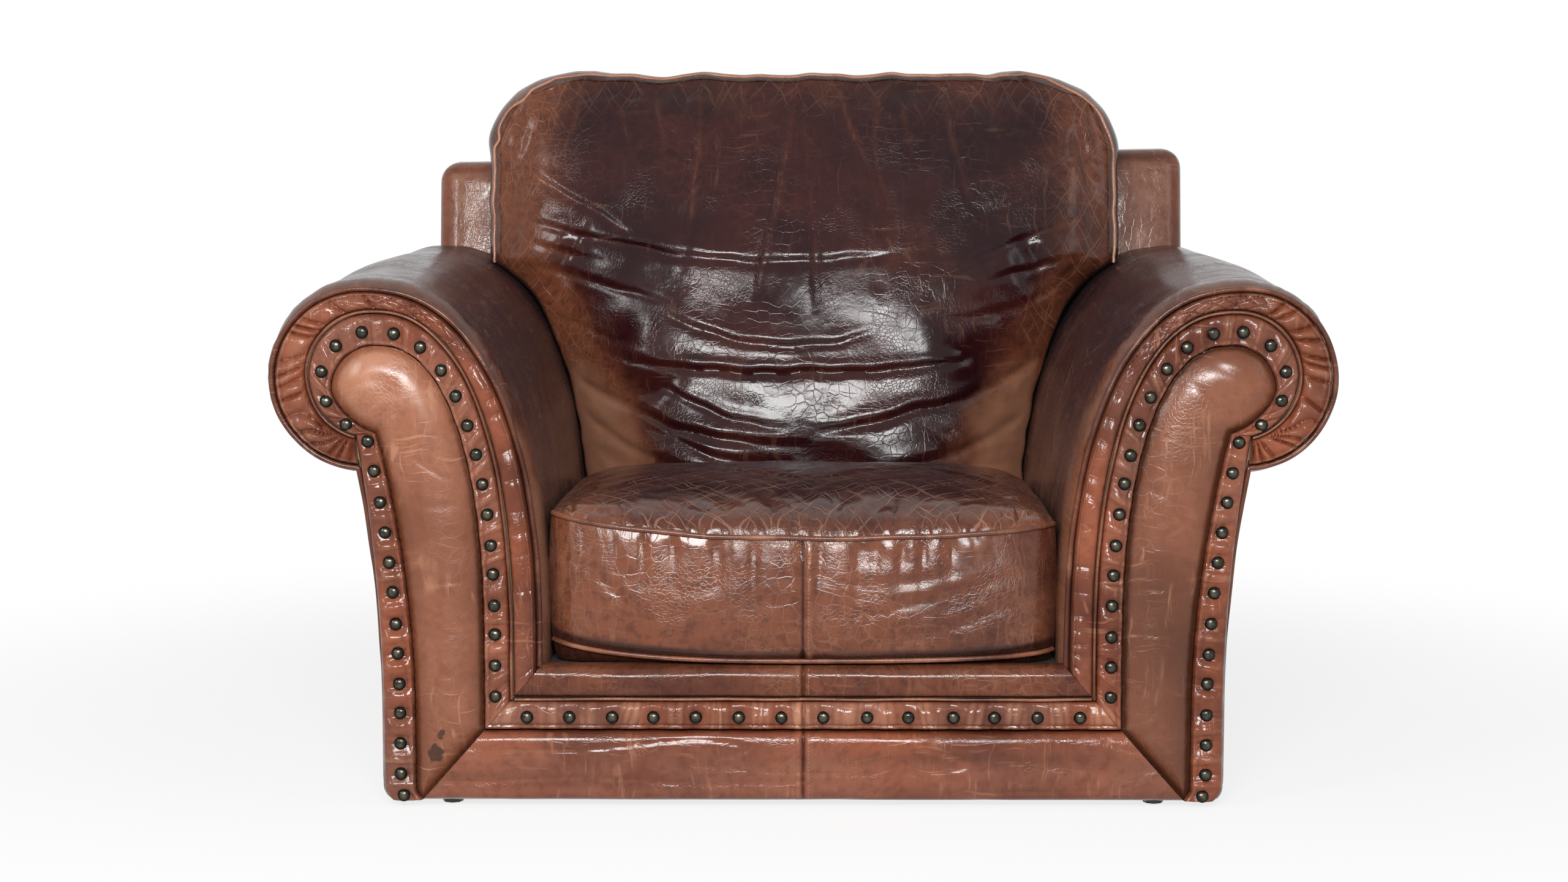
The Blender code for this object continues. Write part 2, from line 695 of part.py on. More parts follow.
def seat_springs():
    """Zigzag springs from the front rail to the rear rail, and the deck that they carry."""
    start = BOARD_Y + RAIL_THICKNESS / 3
    end = SEAT_RAIL_BACK - RAIL_THICKNESS / 3
    pitch = (end - start) / SPRING_BENDS
    height = FRONT_RAIL_TOP + CLEARANCE + SPRING_WIRE
    for count in range(SPRING_COUNT):
        middle = (count - (SPRING_COUNT - 1) / 2) * SPRING_SPREAD
        points = []
        for bend in range(SPRING_BENDS):
            turn = 1 if bend % 2 else -1
            y = start + bend * pitch
            points.append((middle - turn * SPRING_FLAT * SPRING_SWING, y, height))
            points.append((middle + turn * SPRING_FLAT * SPRING_SWING, y, height))
            points.append((middle + turn * SPRING_SWING, y + pitch / 2, height))
        points.append((middle + turn * SPRING_FLAT * SPRING_SWING, end, height))
        rod(f"seat_spring_{count + 1}", points, SPRING_WIRE, SPRING_STEEL, 0)
    half = FACE.grown(ROLL_PUFF).seat_x - 2 * CLEARANCE
    low = (-half, BOARD_Y, DECK_FOOT)
    high = (half, back_plane(DECK_FOOT) + COVER_WALL, DECK_TOP)
    place("seat_deck", block("seat_deck", low, high), CLOTH, smooth=False)


def underside():
    """The dust cover stapled below, and the four glides."""
    half = FACE.grown(ROLL_PUFF - ROLL_WALL).foot_x - 2 * CLEARANCE
    back = back_plane(0) + BACK_THICKNESS - COVER_WALL - 0.006
    mesh = block("dust_cover", (-half, BOARD_Y + CLEARANCE, DUST_COVER_FOOT), (half, back, DUST_COVER_TOP))
    place("dust_cover", mesh, CLOTH, smooth=False)
    radius = 0.014
    for side_name, side in SIDES:
        for place_name, x, y in (
            ("front", FOOT_X - 2 * STRIP_FOOT, BOARD_Y + radius + 0.002),
            ("back", POST_INSIDE, back - radius - 0.002),
        ):
            work = bmesh.new()
            seat = Matrix.Translation((side * x, y, GLIDE_HEIGHT / 2))
            bmesh.ops.create_cone(
                work, cap_ends=True, segments=8, radius1=radius * 0.85, radius2=radius, depth=GLIDE_HEIGHT, matrix=seat
            )
            name = f"glide_{place_name}_{side_name}"
            place(name, to_mesh(name, work), GLIDE_PLASTIC)


# The back


def back_cover():
    """The leather case of the back, with rounded wings, open below and behind the pillow."""
    half = BACK_WIDTH / 2
    low = COVER_FOOT - 3 * BACK_ROUNDING
    size = Vector((BACK_WIDTH, BACK_THICKNESS, BACK_TOP - low))
    middle = Vector((0, BACK_THICKNESS / 2, (BACK_TOP + low) / 2))
    work = bmesh.new()
    bmesh.ops.create_cube(work, size=1.0, matrix=Matrix.Translation(middle) @ Matrix.Diagonal((*size, 1)))
    bmesh.ops.bevel(work, geom=work.edges[:], offset=BACK_ROUNDING, segments=3, profile=0.5, affect="EDGES")
    lean_back(work)
    everything = work.verts[:] + work.edges[:] + work.faces[:]
    bmesh.ops.bisect_plane(work, geom=everything, plane_co=(0, 0, COVER_FOOT), plane_no=(0, 0, -1), clear_outer=True)
    bmesh.ops.holes_fill(work, edges=[edge for edge in work.edges if edge.is_boundary], sides=0)
    cover = place("back_cover", to_mesh("back_cover", work), LEATHER)
    wall = COVER_WALL
    cavity = block(
        "back_cavity", (-half + wall, wall, -BACK_ROUNDING), (half - wall, BACK_THICKNESS - wall, BACK_TOP - wall), True
    )
    window = block("back_window", (-WINDOW_HALF, -wall, -BACK_ROUNDING), (WINDOW_HALF, 1.5 * wall, WINDOW_TOP), True)
    foot = block("back_foot", (-half + wall, -wall, -BACK_ROUNDING), (half - wall, 1.5 * wall, RAIL_FOOT), True)
    boolean(cover, cutter("back_cavity", cavity), "DIFFERENCE")
    boolean(cover, cutter("back_window", window), "DIFFERENCE")
    boolean(cover, cutter("back_foot", foot), "DIFFERENCE")


def pillow_half(z):
    """Half the pillow's width: it follows the shoulders of the arms, then stands above them."""
    shoulder = FACE.grown(ROLL_PUFF).seat_side_x(z - PILLOW_LIFT) - PILLOW_GAP
    half = min(PILLOW_HALF, shoulder)
    over = z - (PILLOW_TOP - PILLOW_CORNER)
    if over > 0:
        half -= PILLOW_CORNER - math.sqrt(max(0.0, PILLOW_CORNER**2 - over**2))
    return half


def valley(distance):
    return math.exp(-((distance / FOLD_WIDTH) ** 2))


def pillow_folds(x, z):
    """How far the folds sink the pillow's face: swags from side to side, creases from the top."""
    depth = 0.0
    across = abs(x) / PILLOW_HALF
    for height, rise, reach, deep in SWAGS:
        if across < reach:
            depth += deep * valley(z - height - rise * across**1.5) * (1 - (across / reach) ** 4)
    for place_x, low, deep in CREASES:
        if z > low:
            depth += deep * valley((x - place_x) * 1.3) * min(1.0, (z - low) / 0.06)
    return depth


def pillow_seam(z):
    """Where the welt lies against the pillow's side, just behind the edge of its face."""
    return back_plane(z) - CLEARANCE - PILLOW_EDGE + SEAM_CHAMFER


def pillow_ring(z, top_share=0.0):
    half = pillow_half(z)
    rear = back_plane(z) - CLEARANCE
    rise = (z - PILLOW_FOOT) / (PILLOW_TOP - PILLOW_FOOT)
    crown = PILLOW_CROWN * (1 - (2 * rise - 1) ** 4 * (0.9 if rise > 0.5 else 0.55))
    edge = rear - PILLOW_EDGE + SEAM_CHAMFER * top_share
    ring = [(-half * 0.9, rear, z), (-half, rear - 0.03, z), (-half, edge + SEAM_CHAMFER, z)]
    for share in steps(-1.0, 1.0, PILLOW_COLUMNS):
        bend = math.sin(share * math.pi / 2) * 0.35 + share * 0.65
        x = (half - SEAM_CHAMFER) * bend
        belly = crown * (1 - abs(bend) ** 3) * (1 - 0.5 * top_share)
        fade = 1 - abs(bend) ** 8
        ring.append((x, edge - belly + pillow_folds(x, z) * fade, z))
    ring += [(half, edge + SEAM_CHAMFER, z), (half, rear - 0.03, z), (half * 0.9, rear, z)]
    return ring


def back_pillow():
    """The pillow of the back and the welt round its face."""
    corner_z = PILLOW_TOP - PILLOW_CORNER
    levels = steps(PILLOW_FOOT, corner_z, PILLOW_ROWS)
    levels += [corner_z + PILLOW_CORNER * math.sin(turn) for turn in CORNER_TURNS]
    rings = [pillow_ring(z) for z in levels]
    rings.append(pillow_ring(PILLOW_TOP, 1.0))
    place("back_cushion", loft("back_cushion", rings), DARK_LEATHER)

    outline = [(PILLOW_HALF + SEAM_OFFSET, z) for z in levels if WELT_START < z <= corner_z]
    for turn in CORNER_TURNS:
        reach = PILLOW_CORNER + SEAM_OFFSET
        outline.append((PILLOW_HALF - PILLOW_CORNER + reach * math.cos(turn), corner_z + reach * math.sin(turn)))
    outline += [(x, PILLOW_TOP + SEAM_OFFSET) for x in steps(PILLOW_HALF - PILLOW_CORNER, 0, 4)]
    points = [Vector((x, pillow_seam(z), z)) for x, z in outline]
    mirrored = [Vector((-point.x, point.y, point.z)) for point in reversed(points[:-1])]
    rod("back_cushion_welt", points + mirrored, WELT_RADIUS, PALE_LEATHER, 1)


# The seat cushion


CUSHION_HALF = SEAT_HALF - ROLL_PUFF - PILLOW_GAP


def cushion_front(share):
    """The front of the cushion at a share of its half width: bowed, with rounded corners."""
    return CUSHION_FRONT + CUSHION_BOW * share**2 + CUSHION_CORNER * abs(share) ** 12


def seat_ring(share, gather):
    x = CUSHION_HALF * share
    front = cushion_front(share)
    crown = CUSHION_CROWN * (1 - share**4)
    foot = DECK_TOP + CLEARANCE
    seam = CUSHION_SEAM
    low_seam = CUSHION_FOOT_SEAM
    chamfer = SEAM_CHAMFER
    belly = CUSHION_BELLY * (1 - share**6)
    ring = [(x, CUSHION_BACK - 0.01, foot), (x, front + 0.05, foot), (x, front + 0.012, foot + 0.004)]
    ring += [(x, front + 0.002, low_seam - chamfer), (x, front + chamfer - 0.002, low_seam)]
    ring += [(x, front + 0.002, low_seam + chamfer)]
    middle = (seam + low_seam) / 2
    ring += [(x, front - belly, middle - 0.02), (x, front - belly + gather * 0.5, middle + 0.02)]
    ring += [(x, front - belly * 0.6 + gather, seam - 3 * chamfer), (x, front + 0.001, seam - chamfer)]
    ring += [(x, front + chamfer, seam)]
    length = CUSHION_BACK - front
    for run in (0.03, 0.10, 0.22, 0.36, 0.52, 0.70, 0.86, 0.97):
        lift = math.sin(math.pi * min(1.0, run * 1.15 + 0.02)) ** 0.55 if run < 0.85 else (1 - run) * 2
        ring.append((x, front + chamfer + length * run * 0.985, seam + crown * lift))
    ring.append((x, CUSHION_BACK, seam - 0.02))
    return ring


def seat_cushion():
    """The boxed cushion and the two welts round its boxing."""
    count = 22
    rings = []
    for step, share in enumerate(steps(-1.0, 1.0, count)):
        fade = 1 - abs(share) ** 6
        rings.append(seat_ring(math.sin(share * math.pi / 2) * 0.3 + share * 0.7, 0.0018 * fade * (1 if step % 2 else -1)))
    place("seat_cushion", loft("seat_cushion", rings), DARK_LEATHER)
    reach = 1 - (SEAM_OFFSET + WELT_RADIUS) / CUSHION_HALF
    for name, height, sink in (("seat_welt_top", CUSHION_SEAM, 0.0), ("seat_welt_bottom", CUSHION_FOOT_SEAM, -0.002)):
        points = []
        for share in steps(-reach, reach, 16):
            y = cushion_front(share) + sink + SEAM_CHAMFER / 2 - SEAM_OFFSET - WELT_RADIUS / 3
            points.append(Vector((CUSHION_HALF * share, y, height)))
        rod(name, points, WELT_RADIUS, LEATHER, 1)


def build():
    for side_name, side in SIDES:
        arm_cover(side_name, side)
        arm_boards(side_name, side)
        arm_border(side_name, side)
        arm_nail_strip(side_name, side)
        arm_panel(side_name, side)
        arm_welts(side_name, side)
    apron()
    frame_rails()
    back_frame()
    seat_springs()
    underside()
    back_cover()
    back_pillow()
    seat_cushion()


clear_scene()
CHAIR = new_collection("club_chair")
CUTTERS = new_collection("cutters")
build()
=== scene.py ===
"""The leather, seams, nails and cushions of a worn club chair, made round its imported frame.

Metres, +Z up. The chair faces -Y. Left and right are as the picture shows them: left is -X.
"""

import math

import bpy
import numpy as np
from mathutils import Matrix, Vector, noise


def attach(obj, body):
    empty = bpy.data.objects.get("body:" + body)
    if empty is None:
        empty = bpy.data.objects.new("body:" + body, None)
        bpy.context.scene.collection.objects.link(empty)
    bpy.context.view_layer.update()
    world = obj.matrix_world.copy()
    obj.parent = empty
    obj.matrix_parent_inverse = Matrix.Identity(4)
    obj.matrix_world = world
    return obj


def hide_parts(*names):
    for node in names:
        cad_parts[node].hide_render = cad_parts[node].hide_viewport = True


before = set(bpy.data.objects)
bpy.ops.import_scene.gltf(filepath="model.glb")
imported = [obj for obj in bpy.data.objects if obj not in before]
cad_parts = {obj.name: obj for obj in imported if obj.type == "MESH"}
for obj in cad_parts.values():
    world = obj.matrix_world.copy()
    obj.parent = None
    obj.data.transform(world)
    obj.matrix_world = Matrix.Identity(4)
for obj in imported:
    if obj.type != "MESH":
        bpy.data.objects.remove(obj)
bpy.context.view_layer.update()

bl_info = {
    "name": "Worn Club Chair",
    "version": (1, 0, 0),
    "blender": (4, 5, 0),
    "location": "3D View > Sidebar > Chair",
    "description": "Dresses the frame of a club chair in worn leather, with its welts, nails and cushions",
    "category": "Object",
}

# The chair's outline, as its frame has it
CLEARANCE = 0.0004
DEPTH = 0.98
FRONT = -DEPTH / 2
BACK = DEPTH / 2
COVER_FOOT = 0.008
SEAT_HALF = 0.306
SPRING_LINE = 0.200
CROWN_POWER = 2.35
HEAD_HEIGHT = 0.506
HEAD_RADIUS = 0.1085
HEAD_X = SEAT_HALF + 0.209
FOOT_X = SEAT_HALF + 0.190
WAIST_LINE = 0.110
MITRE_TOP = 0.170
MITRE_SLOPE = 1.135
FLATTENED_ARC = 100.0

# Depths at the front, and how high the sewn edges of its bands stand
PAD_BACK = 0.024
BOARD_Y = FRONT + 0.0045 + PAD_BACK
HIDDEN_Y = BOARD_Y - 2 * CLEARANCE
EDGE_RISE = 0.016
BORDER_RISE = 0.0205
STRIP_RISE = 0.0236
PANEL_RISE = 0.0255
BORDER_OUTER_EDGE = 0.0062
PANEL_EDGE = 0.0105
STRIP_INNER_EDGE = 0.0115
APRON_EDGE = 0.0120
INNER_WELT_EDGE = 0.0125
SOFT_PADDING = 2.3
FLAT_PADDING = 5
WELT_RADIUS = 0.0035
THIN_WELT = 0.5 * WELT_RADIUS
SEAM_OFFSET = WELT_RADIUS + CLEARANCE
INNER_SEAM = 0.0021
NAIL_SHARE = 0.45
NAIL_SINK = 0.0062
NAIL_Y = BOARD_Y - STRIP_RISE + 0.75 * NAIL_SINK

# The roll of an arm
ROLL_FOOT = 0.150
ROLL_WALL = 0.010
ROLL_LIMIT = 0.0195
BACK_GAP = 0.0128
BACK_PANEL_WALL = 0.011
BACK_PANEL_OVERLAP = 0.0052

# The back and its pillow
BACK_HALF = 0.534
BACK_TOP = 0.758
BACK_THICKNESS = 0.130
BACK_ROUNDING = 0.034
BACK_SHIFT = 0.009
BACK_TILT = 0.019
RAKE = math.tan(math.radians(9.0))
WING_ROUNDING = 0.028
REAR_ROUNDING = 0.022
WING_SEAM = 0.0115
REAR_PIPING_INSET = 0.024
REAR_PIPING_TURN = 0.030
PILLOW_HALF = 0.436
PILLOW_TOP = 0.870
PILLOW_FOOT = 0.168
PILLOW_EDGE = 0.125
PILLOW_CROWN = 0.064
PILLOW_SEAM_TOP = PILLOW_TOP - 0.006
PILLOW_CORNERS = (0.104, 0.118)
# What the folds' own depths and widths are multiplied by
FOLD_DEPTH = 0.62
FOLD_WIDTH = 0.80

# The seat cushion
CUSHION_HALF = 0.2985
CUSHION_FRONT = -0.478
CUSHION_BACK = 0.112
CUSHION_FOOT = 0.1679
CUSHION_SEAM = 0.321
CUSHION_FOOT_SEAM = 0.183
CUSHION_CROWN = 0.046
BOXING_BULGE = 0.0165

SIDES = (("left", -1), ("right", 1))


# Small helpers


def drift(x, y=0.0, z=0.0):
    """A smooth wandering value between about -1 and 1."""
    return 1.6 * noise.noise(Vector((x + 0.37, y + 0.71, z + 0.13)))


def mix(low, high, share):
    return low + (high - low) * share


def smooth(low, high, value):
    """0 below one value, 1 above the other, and an S-curve between them."""
    share = min(1.0, max(0.0, (value - low) / (high - low)))
    return share * share * (3 - 2 * share)


def bell(distance, width):
    return math.exp(-((distance / width) ** 2))


def back_plane(z):
    """How far back the front plane of the back lies at a height."""
    return BACK - BACK_THICKNESS - (BACK_TOP - BACK_ROUNDING - z) * RAKE


def back_lean(x, z):
    """How far the top of the back is lifted at a place, because the case stands a little askew."""
    return BACK_TILT * x * smooth(0.5, 0.75, z)


def mitre_height(x):
    return MITRE_TOP - (x - SEAT_HALF) * MITRE_SLOPE


def mitre_x(z):
    return SEAT_HALF + (MITRE_TOP - z) / MITRE_SLOPE


def edge_share(across):
    """1 on both edges of a band and 0 along its middle, for a share across it."""
    return abs(2 * across - 1)


def padding(across, low, crest, high, power):
    """How far a padded band stands out, between the heights of its two sewn edges."""
    edge = mix(low, high, across)
    return edge + (crest - edge) * (1 - edge_share(across) ** power) ** 0.5


def gathers(distance, pitch, seed, wander=0.45):
    """Rounded ridges with sharp valleys between them, unevenly spaced along a seam."""
    phase = distance / pitch + wander * drift(distance / pitch * 0.7, seed)
    return abs(math.sin(math.pi * phase)) ** 0.7


class Trail:
    """A chain of flat points that is walked by the distance along it."""

    def __init__(self, points):
        self.points = np.array([tuple(point) for point in points])
        strides = np.linalg.norm(np.diff(self.points, axis=0), axis=1)
        self.distances = np.concatenate([[0.0], np.cumsum(strides)])
        self.length = float(self.distances[-1])

    def spots(self, distances):
        """The points at some distances, one row each."""
        return np.stack([np.interp(distances, self.distances, self.points[:, part]) for part in (0, 1)], -1)

    def spot(self, share):
        """The point at a share of the whole length."""
        return Vector(self.spots(share * self.length))


# Pieces


def deselect():
    for thing in bpy.context.selected_objects:
        thing.select_set(False)


def choose(*things):
    deselect()
    for thing in things:
        thing.select_set(True)
    bpy.context.view_layer.objects.active = things[0]


def edit(thing):
    choose(thing)
    bpy.ops.object.mode_set(mode="EDIT")
    bpy.ops.mesh.select_mode(type="EDGE")


def leave_edit():
    bpy.ops.object.mode_set(mode="OBJECT")


def named(thing, name):
    thing.name = thing.data.name = name
    return thing


def apply_modifier(thing, kind, **settings):
    """Adds a modifier of a kind with its settings, and applies it."""
    choose(thing)
    bpy.ops.object.modifier_add(type=kind)
    modifier = thing.modifiers[-1]
    for setting, value in settings.items():
        setattr(modifier, setting, value)
    bpy.ops.object.modifier_apply(modifier=modifier.name)


def age(thing, **marks):
    """Stores how worn, how warm and how webbed with lines the leather is at each corner; on a few pieces the
    wear and tone also hold painted shade, sheen and highlight.
    """
    attributes = thing.data.attributes
    for name, values in marks.items():
        found = attributes.get(name) or attributes.new(name, "FLOAT", "POINT")
        found.data.foreach_set("value", values)


def leather_sheet(name, columns, rows, place):
    """A flat grid whose corners go to the place for their shares across and up, with their wear and tone."""
    deselect()
    bpy.ops.mesh.primitive_grid_add(x_subdivisions=columns, y_subdivisions=rows, size=1.0)
    made = named(bpy.context.object, name)
    wear = []
    tone = []
    for corner in made.data.vertices:
        spot, worn, warm = place(corner.co.x + 0.5, corner.co.y + 0.5)
        corner.co = spot
        wear.append(worn)
        tone.append(warm)
    age(made, wear=wear, tone=tone)
    return made


def outward(thing):
    edit(thing)
    bpy.ops.mesh.select_all(action="SELECT")
    bpy.ops.mesh.normals_make_consistent(inside=False)
    leave_edit()


def turn_over(thing):
    """Turns all faces of an open sheet the other way."""
    edit(thing)
    bpy.ops.mesh.select_all(action="SELECT")
    bpy.ops.mesh.flip_normals()
    leave_edit()


def wall(thing, thickness):
    """Gives a sheet a wall behind its face."""
    apply_modifier(thing, "SOLIDIFY", thickness=thickness, offset=-1.0)


def close_behind(thing, y):
    """Turns the open edge of a band back to the board and closes it there."""
    edit(thing)
    bpy.ops.mesh.select_all(action="DESELECT")
    bpy.ops.mesh.select_non_manifold(
        extend=False, use_wire=False, use_multi_face=False, use_non_contiguous=False
    )
    bpy.ops.mesh.extrude_edges_move()
    leave_edit()
    for corner in thing.data.vertices:
        if corner.select:
            corner.co.y = y
    edit(thing)
    bpy.ops.mesh.edge_face_add()
    outward(thing)


def tube(name, points, radius):
    """A round piping through points, which is made a mesh."""
    deselect()
    bpy.ops.curve.primitive_nurbs_path_add()
    made = named(bpy.context.object, name)
    made.data.splines.clear()
    line = made.data.splines.new("POLY")
    line.points.add(len(points) - 1)
    for target, point in zip(line.points, points):
        target.co = (*point, 1.0)
    made.data.bevel_depth = radius
    made.data.bevel_resolution = 3
    made.data.use_fill_caps = True
    bpy.ops.object.convert(target="MESH")
    made = bpy.context.object
    edit(made)
    bpy.ops.mesh.select_all(action="SELECT")
    bpy.ops.mesh.remove_doubles(threshold=0.00002)
    outward(made)
    return made


def copies(name, pattern, places):
    """Copies a pattern once for each place, moves every corner there, and joins the copies."""
    made = []
    for place in places:
        thing = pattern.copy()
        thing.data = pattern.data.copy()
        bpy.context.collection.objects.link(thing)
        for corner in thing.data.vertices:
            corner.co = place(corner.co)
        made.append(thing)
    bpy.data.objects.remove(pattern)
    choose(*made)
    bpy.ops.object.join()
    return named(made[0], name)


def finished(thing, finish, nodes=(), angle=55):
    """Shades a piece, gives it its leather and seats it in the frame in place of its nodes."""
    choose(thing)
    bpy.ops.object.shade_smooth_by_angle(angle=math.radians(angle))
    thing.data.materials.clear()
    thing.data.materials.append(finish)
    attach(thing, "root")
    if nodes:
        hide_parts(*nodes)
    return thing


def front_band(name, columns, rows, place, leather_name, node):
    """A band of leather on the front boards, closed behind and seated in place of its node."""
    made = leather_sheet(name, columns, rows, place)
    close_behind(made, HIDDEN_Y)
    return finished(made, finish(leather_name), [node])


def piping(name, points, radius, tone, rub, nodes=()):
    """A piping through points, rubbed pale along its front, more here and less there."""
    made = tube(name, points, radius)
    age_welt(made, tone, rub)
    return finished(made, finish("welt"), nodes)


def age_welt(thing, tone, rub):
    places = [corner.co for corner in thing.data.vertices]
    wear = [rub + 0.30 * drift(place.x * 24, place.y * 9, place.z * 24) for place in places]
    age(thing, wear=wear, tone=[tone + 0.25 * drift(place.x * 15, tone, place.z * 15) for place in places])


# The lines of an arm front


class ArmLine:
    """One line of the right arm's front.

    Its runs are: outside 0 to 1, scroll 1 to 2, shoulder 2 to 3, seat side 3 to 4.
    """

    def __init__(self, head_x, head_z, radius, notch_angle, seat_x, foot_x, flattening=0.0, seat_foot=None):
        self.head_x = head_x
        self.head_z = head_z
        self.radius = radius
        self.notch_angle = notch_angle
        self.seat_x = seat_x
        self.foot_x = foot_x
        self.flattening = flattening
        self.seat_foot = mitre_height(seat_x) if seat_foot is None else seat_foot

    def grown(self, by, seat_foot=None):
        return ArmLine(
            self.head_x,
            self.head_z,
            self.radius + by,
            self.notch_angle,
            self.seat_x - by,
            self.foot_x + by,
            self.flattening,
            seat_foot,
        )

    def head(self, degrees):
        turn = math.radians(degrees)
        drawn_in = self.flattening * math.sin(math.pi * max(0.0, -degrees) / FLATTENED_ARC)
        radius = self.radius * (1 - drawn_in)
        return Vector((self.head_x + radius * math.cos(turn), self.head_z + radius * math.sin(turn)))

    def outside(self, z):
        notch = self.head(self.notch_angle)
        share = max(0.0, (z - WAIST_LINE) / (notch.y - WAIST_LINE))
        rounding = 0.009 * max(0.0, 1 - (z - COVER_FOOT) / 0.016) ** 2
        return Vector((self.foot_x + (notch.x - self.foot_x) * share**2 - rounding, z))

    def crown(self, degrees):
        turn = math.radians(degrees)
        wide = self.head_x - self.seat_x
        high = self.head_z + self.radius - SPRING_LINE
        across = max(0.0, math.cos(turn)) ** (2 / CROWN_POWER)
        up = max(0.0, math.sin(turn)) ** (2 / CROWN_POWER)
        return Vector((self.head_x - wide * across, SPRING_LINE + high * up))

    def seat_side_x(self, z):
        wide = self.head_x - self.seat_x
        high = self.head_z + self.radius - SPRING_LINE
        share = min(1.0, max(0.0, (z - SPRING_LINE) / high))
        return self.head_x - wide * (1 - share**CROWN_POWER) ** (1 / CROWN_POWER)

    def point(self, run):
        if run <= 1:
            return self.outside(mix(COVER_FOOT, self.head(self.notch_angle).y, run))
        if run <= 2:
            return self.head(mix(self.notch_angle, 90, run - 1))
        if run <= 3:
            return self.crown(mix(90, 0, run - 2))
        return Vector((self.seat_x, mix(SPRING_LINE, self.seat_foot, run - 3)))


FACE = ArmLine(HEAD_X, HEAD_HEIGHT, HEAD_RADIUS, -87.0, SEAT_HALF, FOOT_X)
BORDER = ArmLine(HEAD_X - 0.012, HEAD_HEIGHT + 0.004, HEAD_RADIUS - 0.034, -75.0, SEAT_HALF + 0.036, FOOT_X)
PANEL = ArmLine(
    BORDER.head_x - 0.0055,
    BORDER.head_z - 0.0175,
    BORDER.radius - 0.0225,
    -90.0,
    BORDER.seat_x + 0.033,
    FOOT_X - 0.040,
    0.15,
)


class Band:
    """The leather between two lines of an arm front, walked in even steps along its middle."""

    def __init__(self, inner, outer, first, last):
        self.inner = inner
        self.outer = outer
        self.runs = np.linspace(first, last, 1201)
        self.middle = Trail(inner.point(run).lerp(outer.point(run), 0.5) for run in self.runs)
        self.length = self.middle.length

    def run(self, distance):
        return float(np.interp(distance, self.middle.distances, self.runs))

    def place(self, distance, across):
        run = self.run(distance)
        return self.inner.point(run).lerp(self.outer.point(run), across)


def at(point, y, side):
    return Vector((side * point[0], y, point[1]))


# Leather and other finishes


class Recipe:
    """A small helper that adds and links the nodes of one material."""

    def __init__(self, name):
        self.material = bpy.data.materials.new(name)
        self.material.use_nodes = True
        self.tree = self.material.node_tree
        self.shader = self.tree.nodes["Principled BSDF"]
        self.place = self.node("TexCoord").outputs["Object"]

    def node(self, kind, **inputs):
        """A node of a kind with its named inputs set or linked."""
        node = self.tree.nodes.new(f"ShaderNode{kind}")
        for name, value in inputs.items():
            self.feed(node.inputs[name], value)
        return node

    def feed(self, socket, value):
        if isinstance(value, bpy.types.NodeSocket):
            self.tree.links.new(value, socket)
        else:
            socket.default_value = value

    def finish_with(self, **inputs):
        """Sets or links inputs of the shader, whose names are given with _ for each space."""
        for name, value in inputs.items():
            self.feed(self.shader.inputs[name.replace("_", " ")], value)

    def math(self, operation, first, second, clamp=False):
        node = self.node("Math")
        node.operation = operation
        node.use_clamp = clamp
        self.feed(node.inputs[0], first)
        self.feed(node.inputs[1], second)
        return node.outputs[0]

    def plus(self, first, second):
        return self.math("ADD", first, second)

    def minus(self, first, second):
        return self.math("SUBTRACT", first, second)

    def times(self, first, second):
        return self.math("MULTIPLY", first, second)

    def share(self, first, second):
        """A product that is held between 0 and 1."""
        return self.math("MULTIPLY", first, second, clamp=True)

    def most(self, first, *others):
        for other in others:
            first = self.math("MAXIMUM", first, other)
        return first

    def stretched(self, scale, turn=(0, 0, 0), place=None):
        node = self.node("Mapping", Vector=place or self.place, Scale=scale)
        node.inputs["Rotation"].default_value = [math.radians(angle) for angle in turn]
        return node.outputs[0]

    def warped(self, scale, amount, place=None):
        """The place, moved about a little by noise."""
        cloud = self.node("TexNoise", Vector=place or self.place, Scale=scale, Detail=2)
        move = self.node("VectorMath")
        move.operation = "MULTIPLY_ADD"
        for socket, value in zip(move.inputs, (cloud.outputs["Color"], [amount] * 3, place or self.place)):
            self.feed(socket, value)
        return move.outputs[0]

    def cloud(self, scale, detail=3.0, place=None, rough=0.55):
        place = place or self.place
        return self.node("TexNoise", Vector=place, Scale=scale, Detail=detail, Roughness=rough).outputs["Fac"]

    def edges(self, scale, randomness, place, width):
        """1 on the edges between the cells of a cracked pattern, and 0 at a width from them."""
        node = self.node("TexVoronoi")
        node.feature = "DISTANCE_TO_EDGE"
        for name, value in (("Randomness", randomness), ("Vector", place), ("Scale", scale)):
            self.feed(node.inputs[name], value)
        return self.between(node.outputs["Distance"], 0.0, width, 1.0, 0.0)

    def crossing(self, pitch, place, flat):
        """Thin wandering lines in two crossing families, 1 on a line: over a flat top or up a front."""
        families = []
        for angle in (38, -34):
            turned = self.stretched((1, 1, 1), (0, 0, angle) if flat else (0, angle, 0), place)
            wave = self.node("TexWave", Vector=turned, Scale=2 * math.pi / (20 * pitch))
            families.append(self.between(wave.outputs["Fac"], 0.988, 0.9990))
        return self.most(*families)

    def between(self, value, low, high, start=0.0, end=1.0):
        node = self.node("MapRange")
        node.interpolation_type = "SMOOTHSTEP"
        self.feed(node.inputs["Value"], value)
        for name, number in (("From Min", low), ("From Max", high), ("To Min", start), ("To Max", end)):
            node.inputs[name].default_value = number
        return node.outputs["Result"]

    def blend(self, share, first, second):
        node = self.node("Mix")
        node.data_type = "RGBA"
        for number, value in ((0, share), (6, first), (7, second)):
            self.feed(node.inputs[number], value)
        return node.outputs[2]

    def attribute(self, name):
        node = self.node("Attribute")
        node.attribute_name = name
        return node.outputs["Fac"]

    def bump(self, height, distance):
        node = self.node("Bump", Strength=1.0, Distance=distance, Height=height)
        self.finish_with(Normal=node.outputs["Normal"])


def rgba(colour):
    return (*colour, 1.0)


SHADES = ("deep", "base", "warm", "worn")

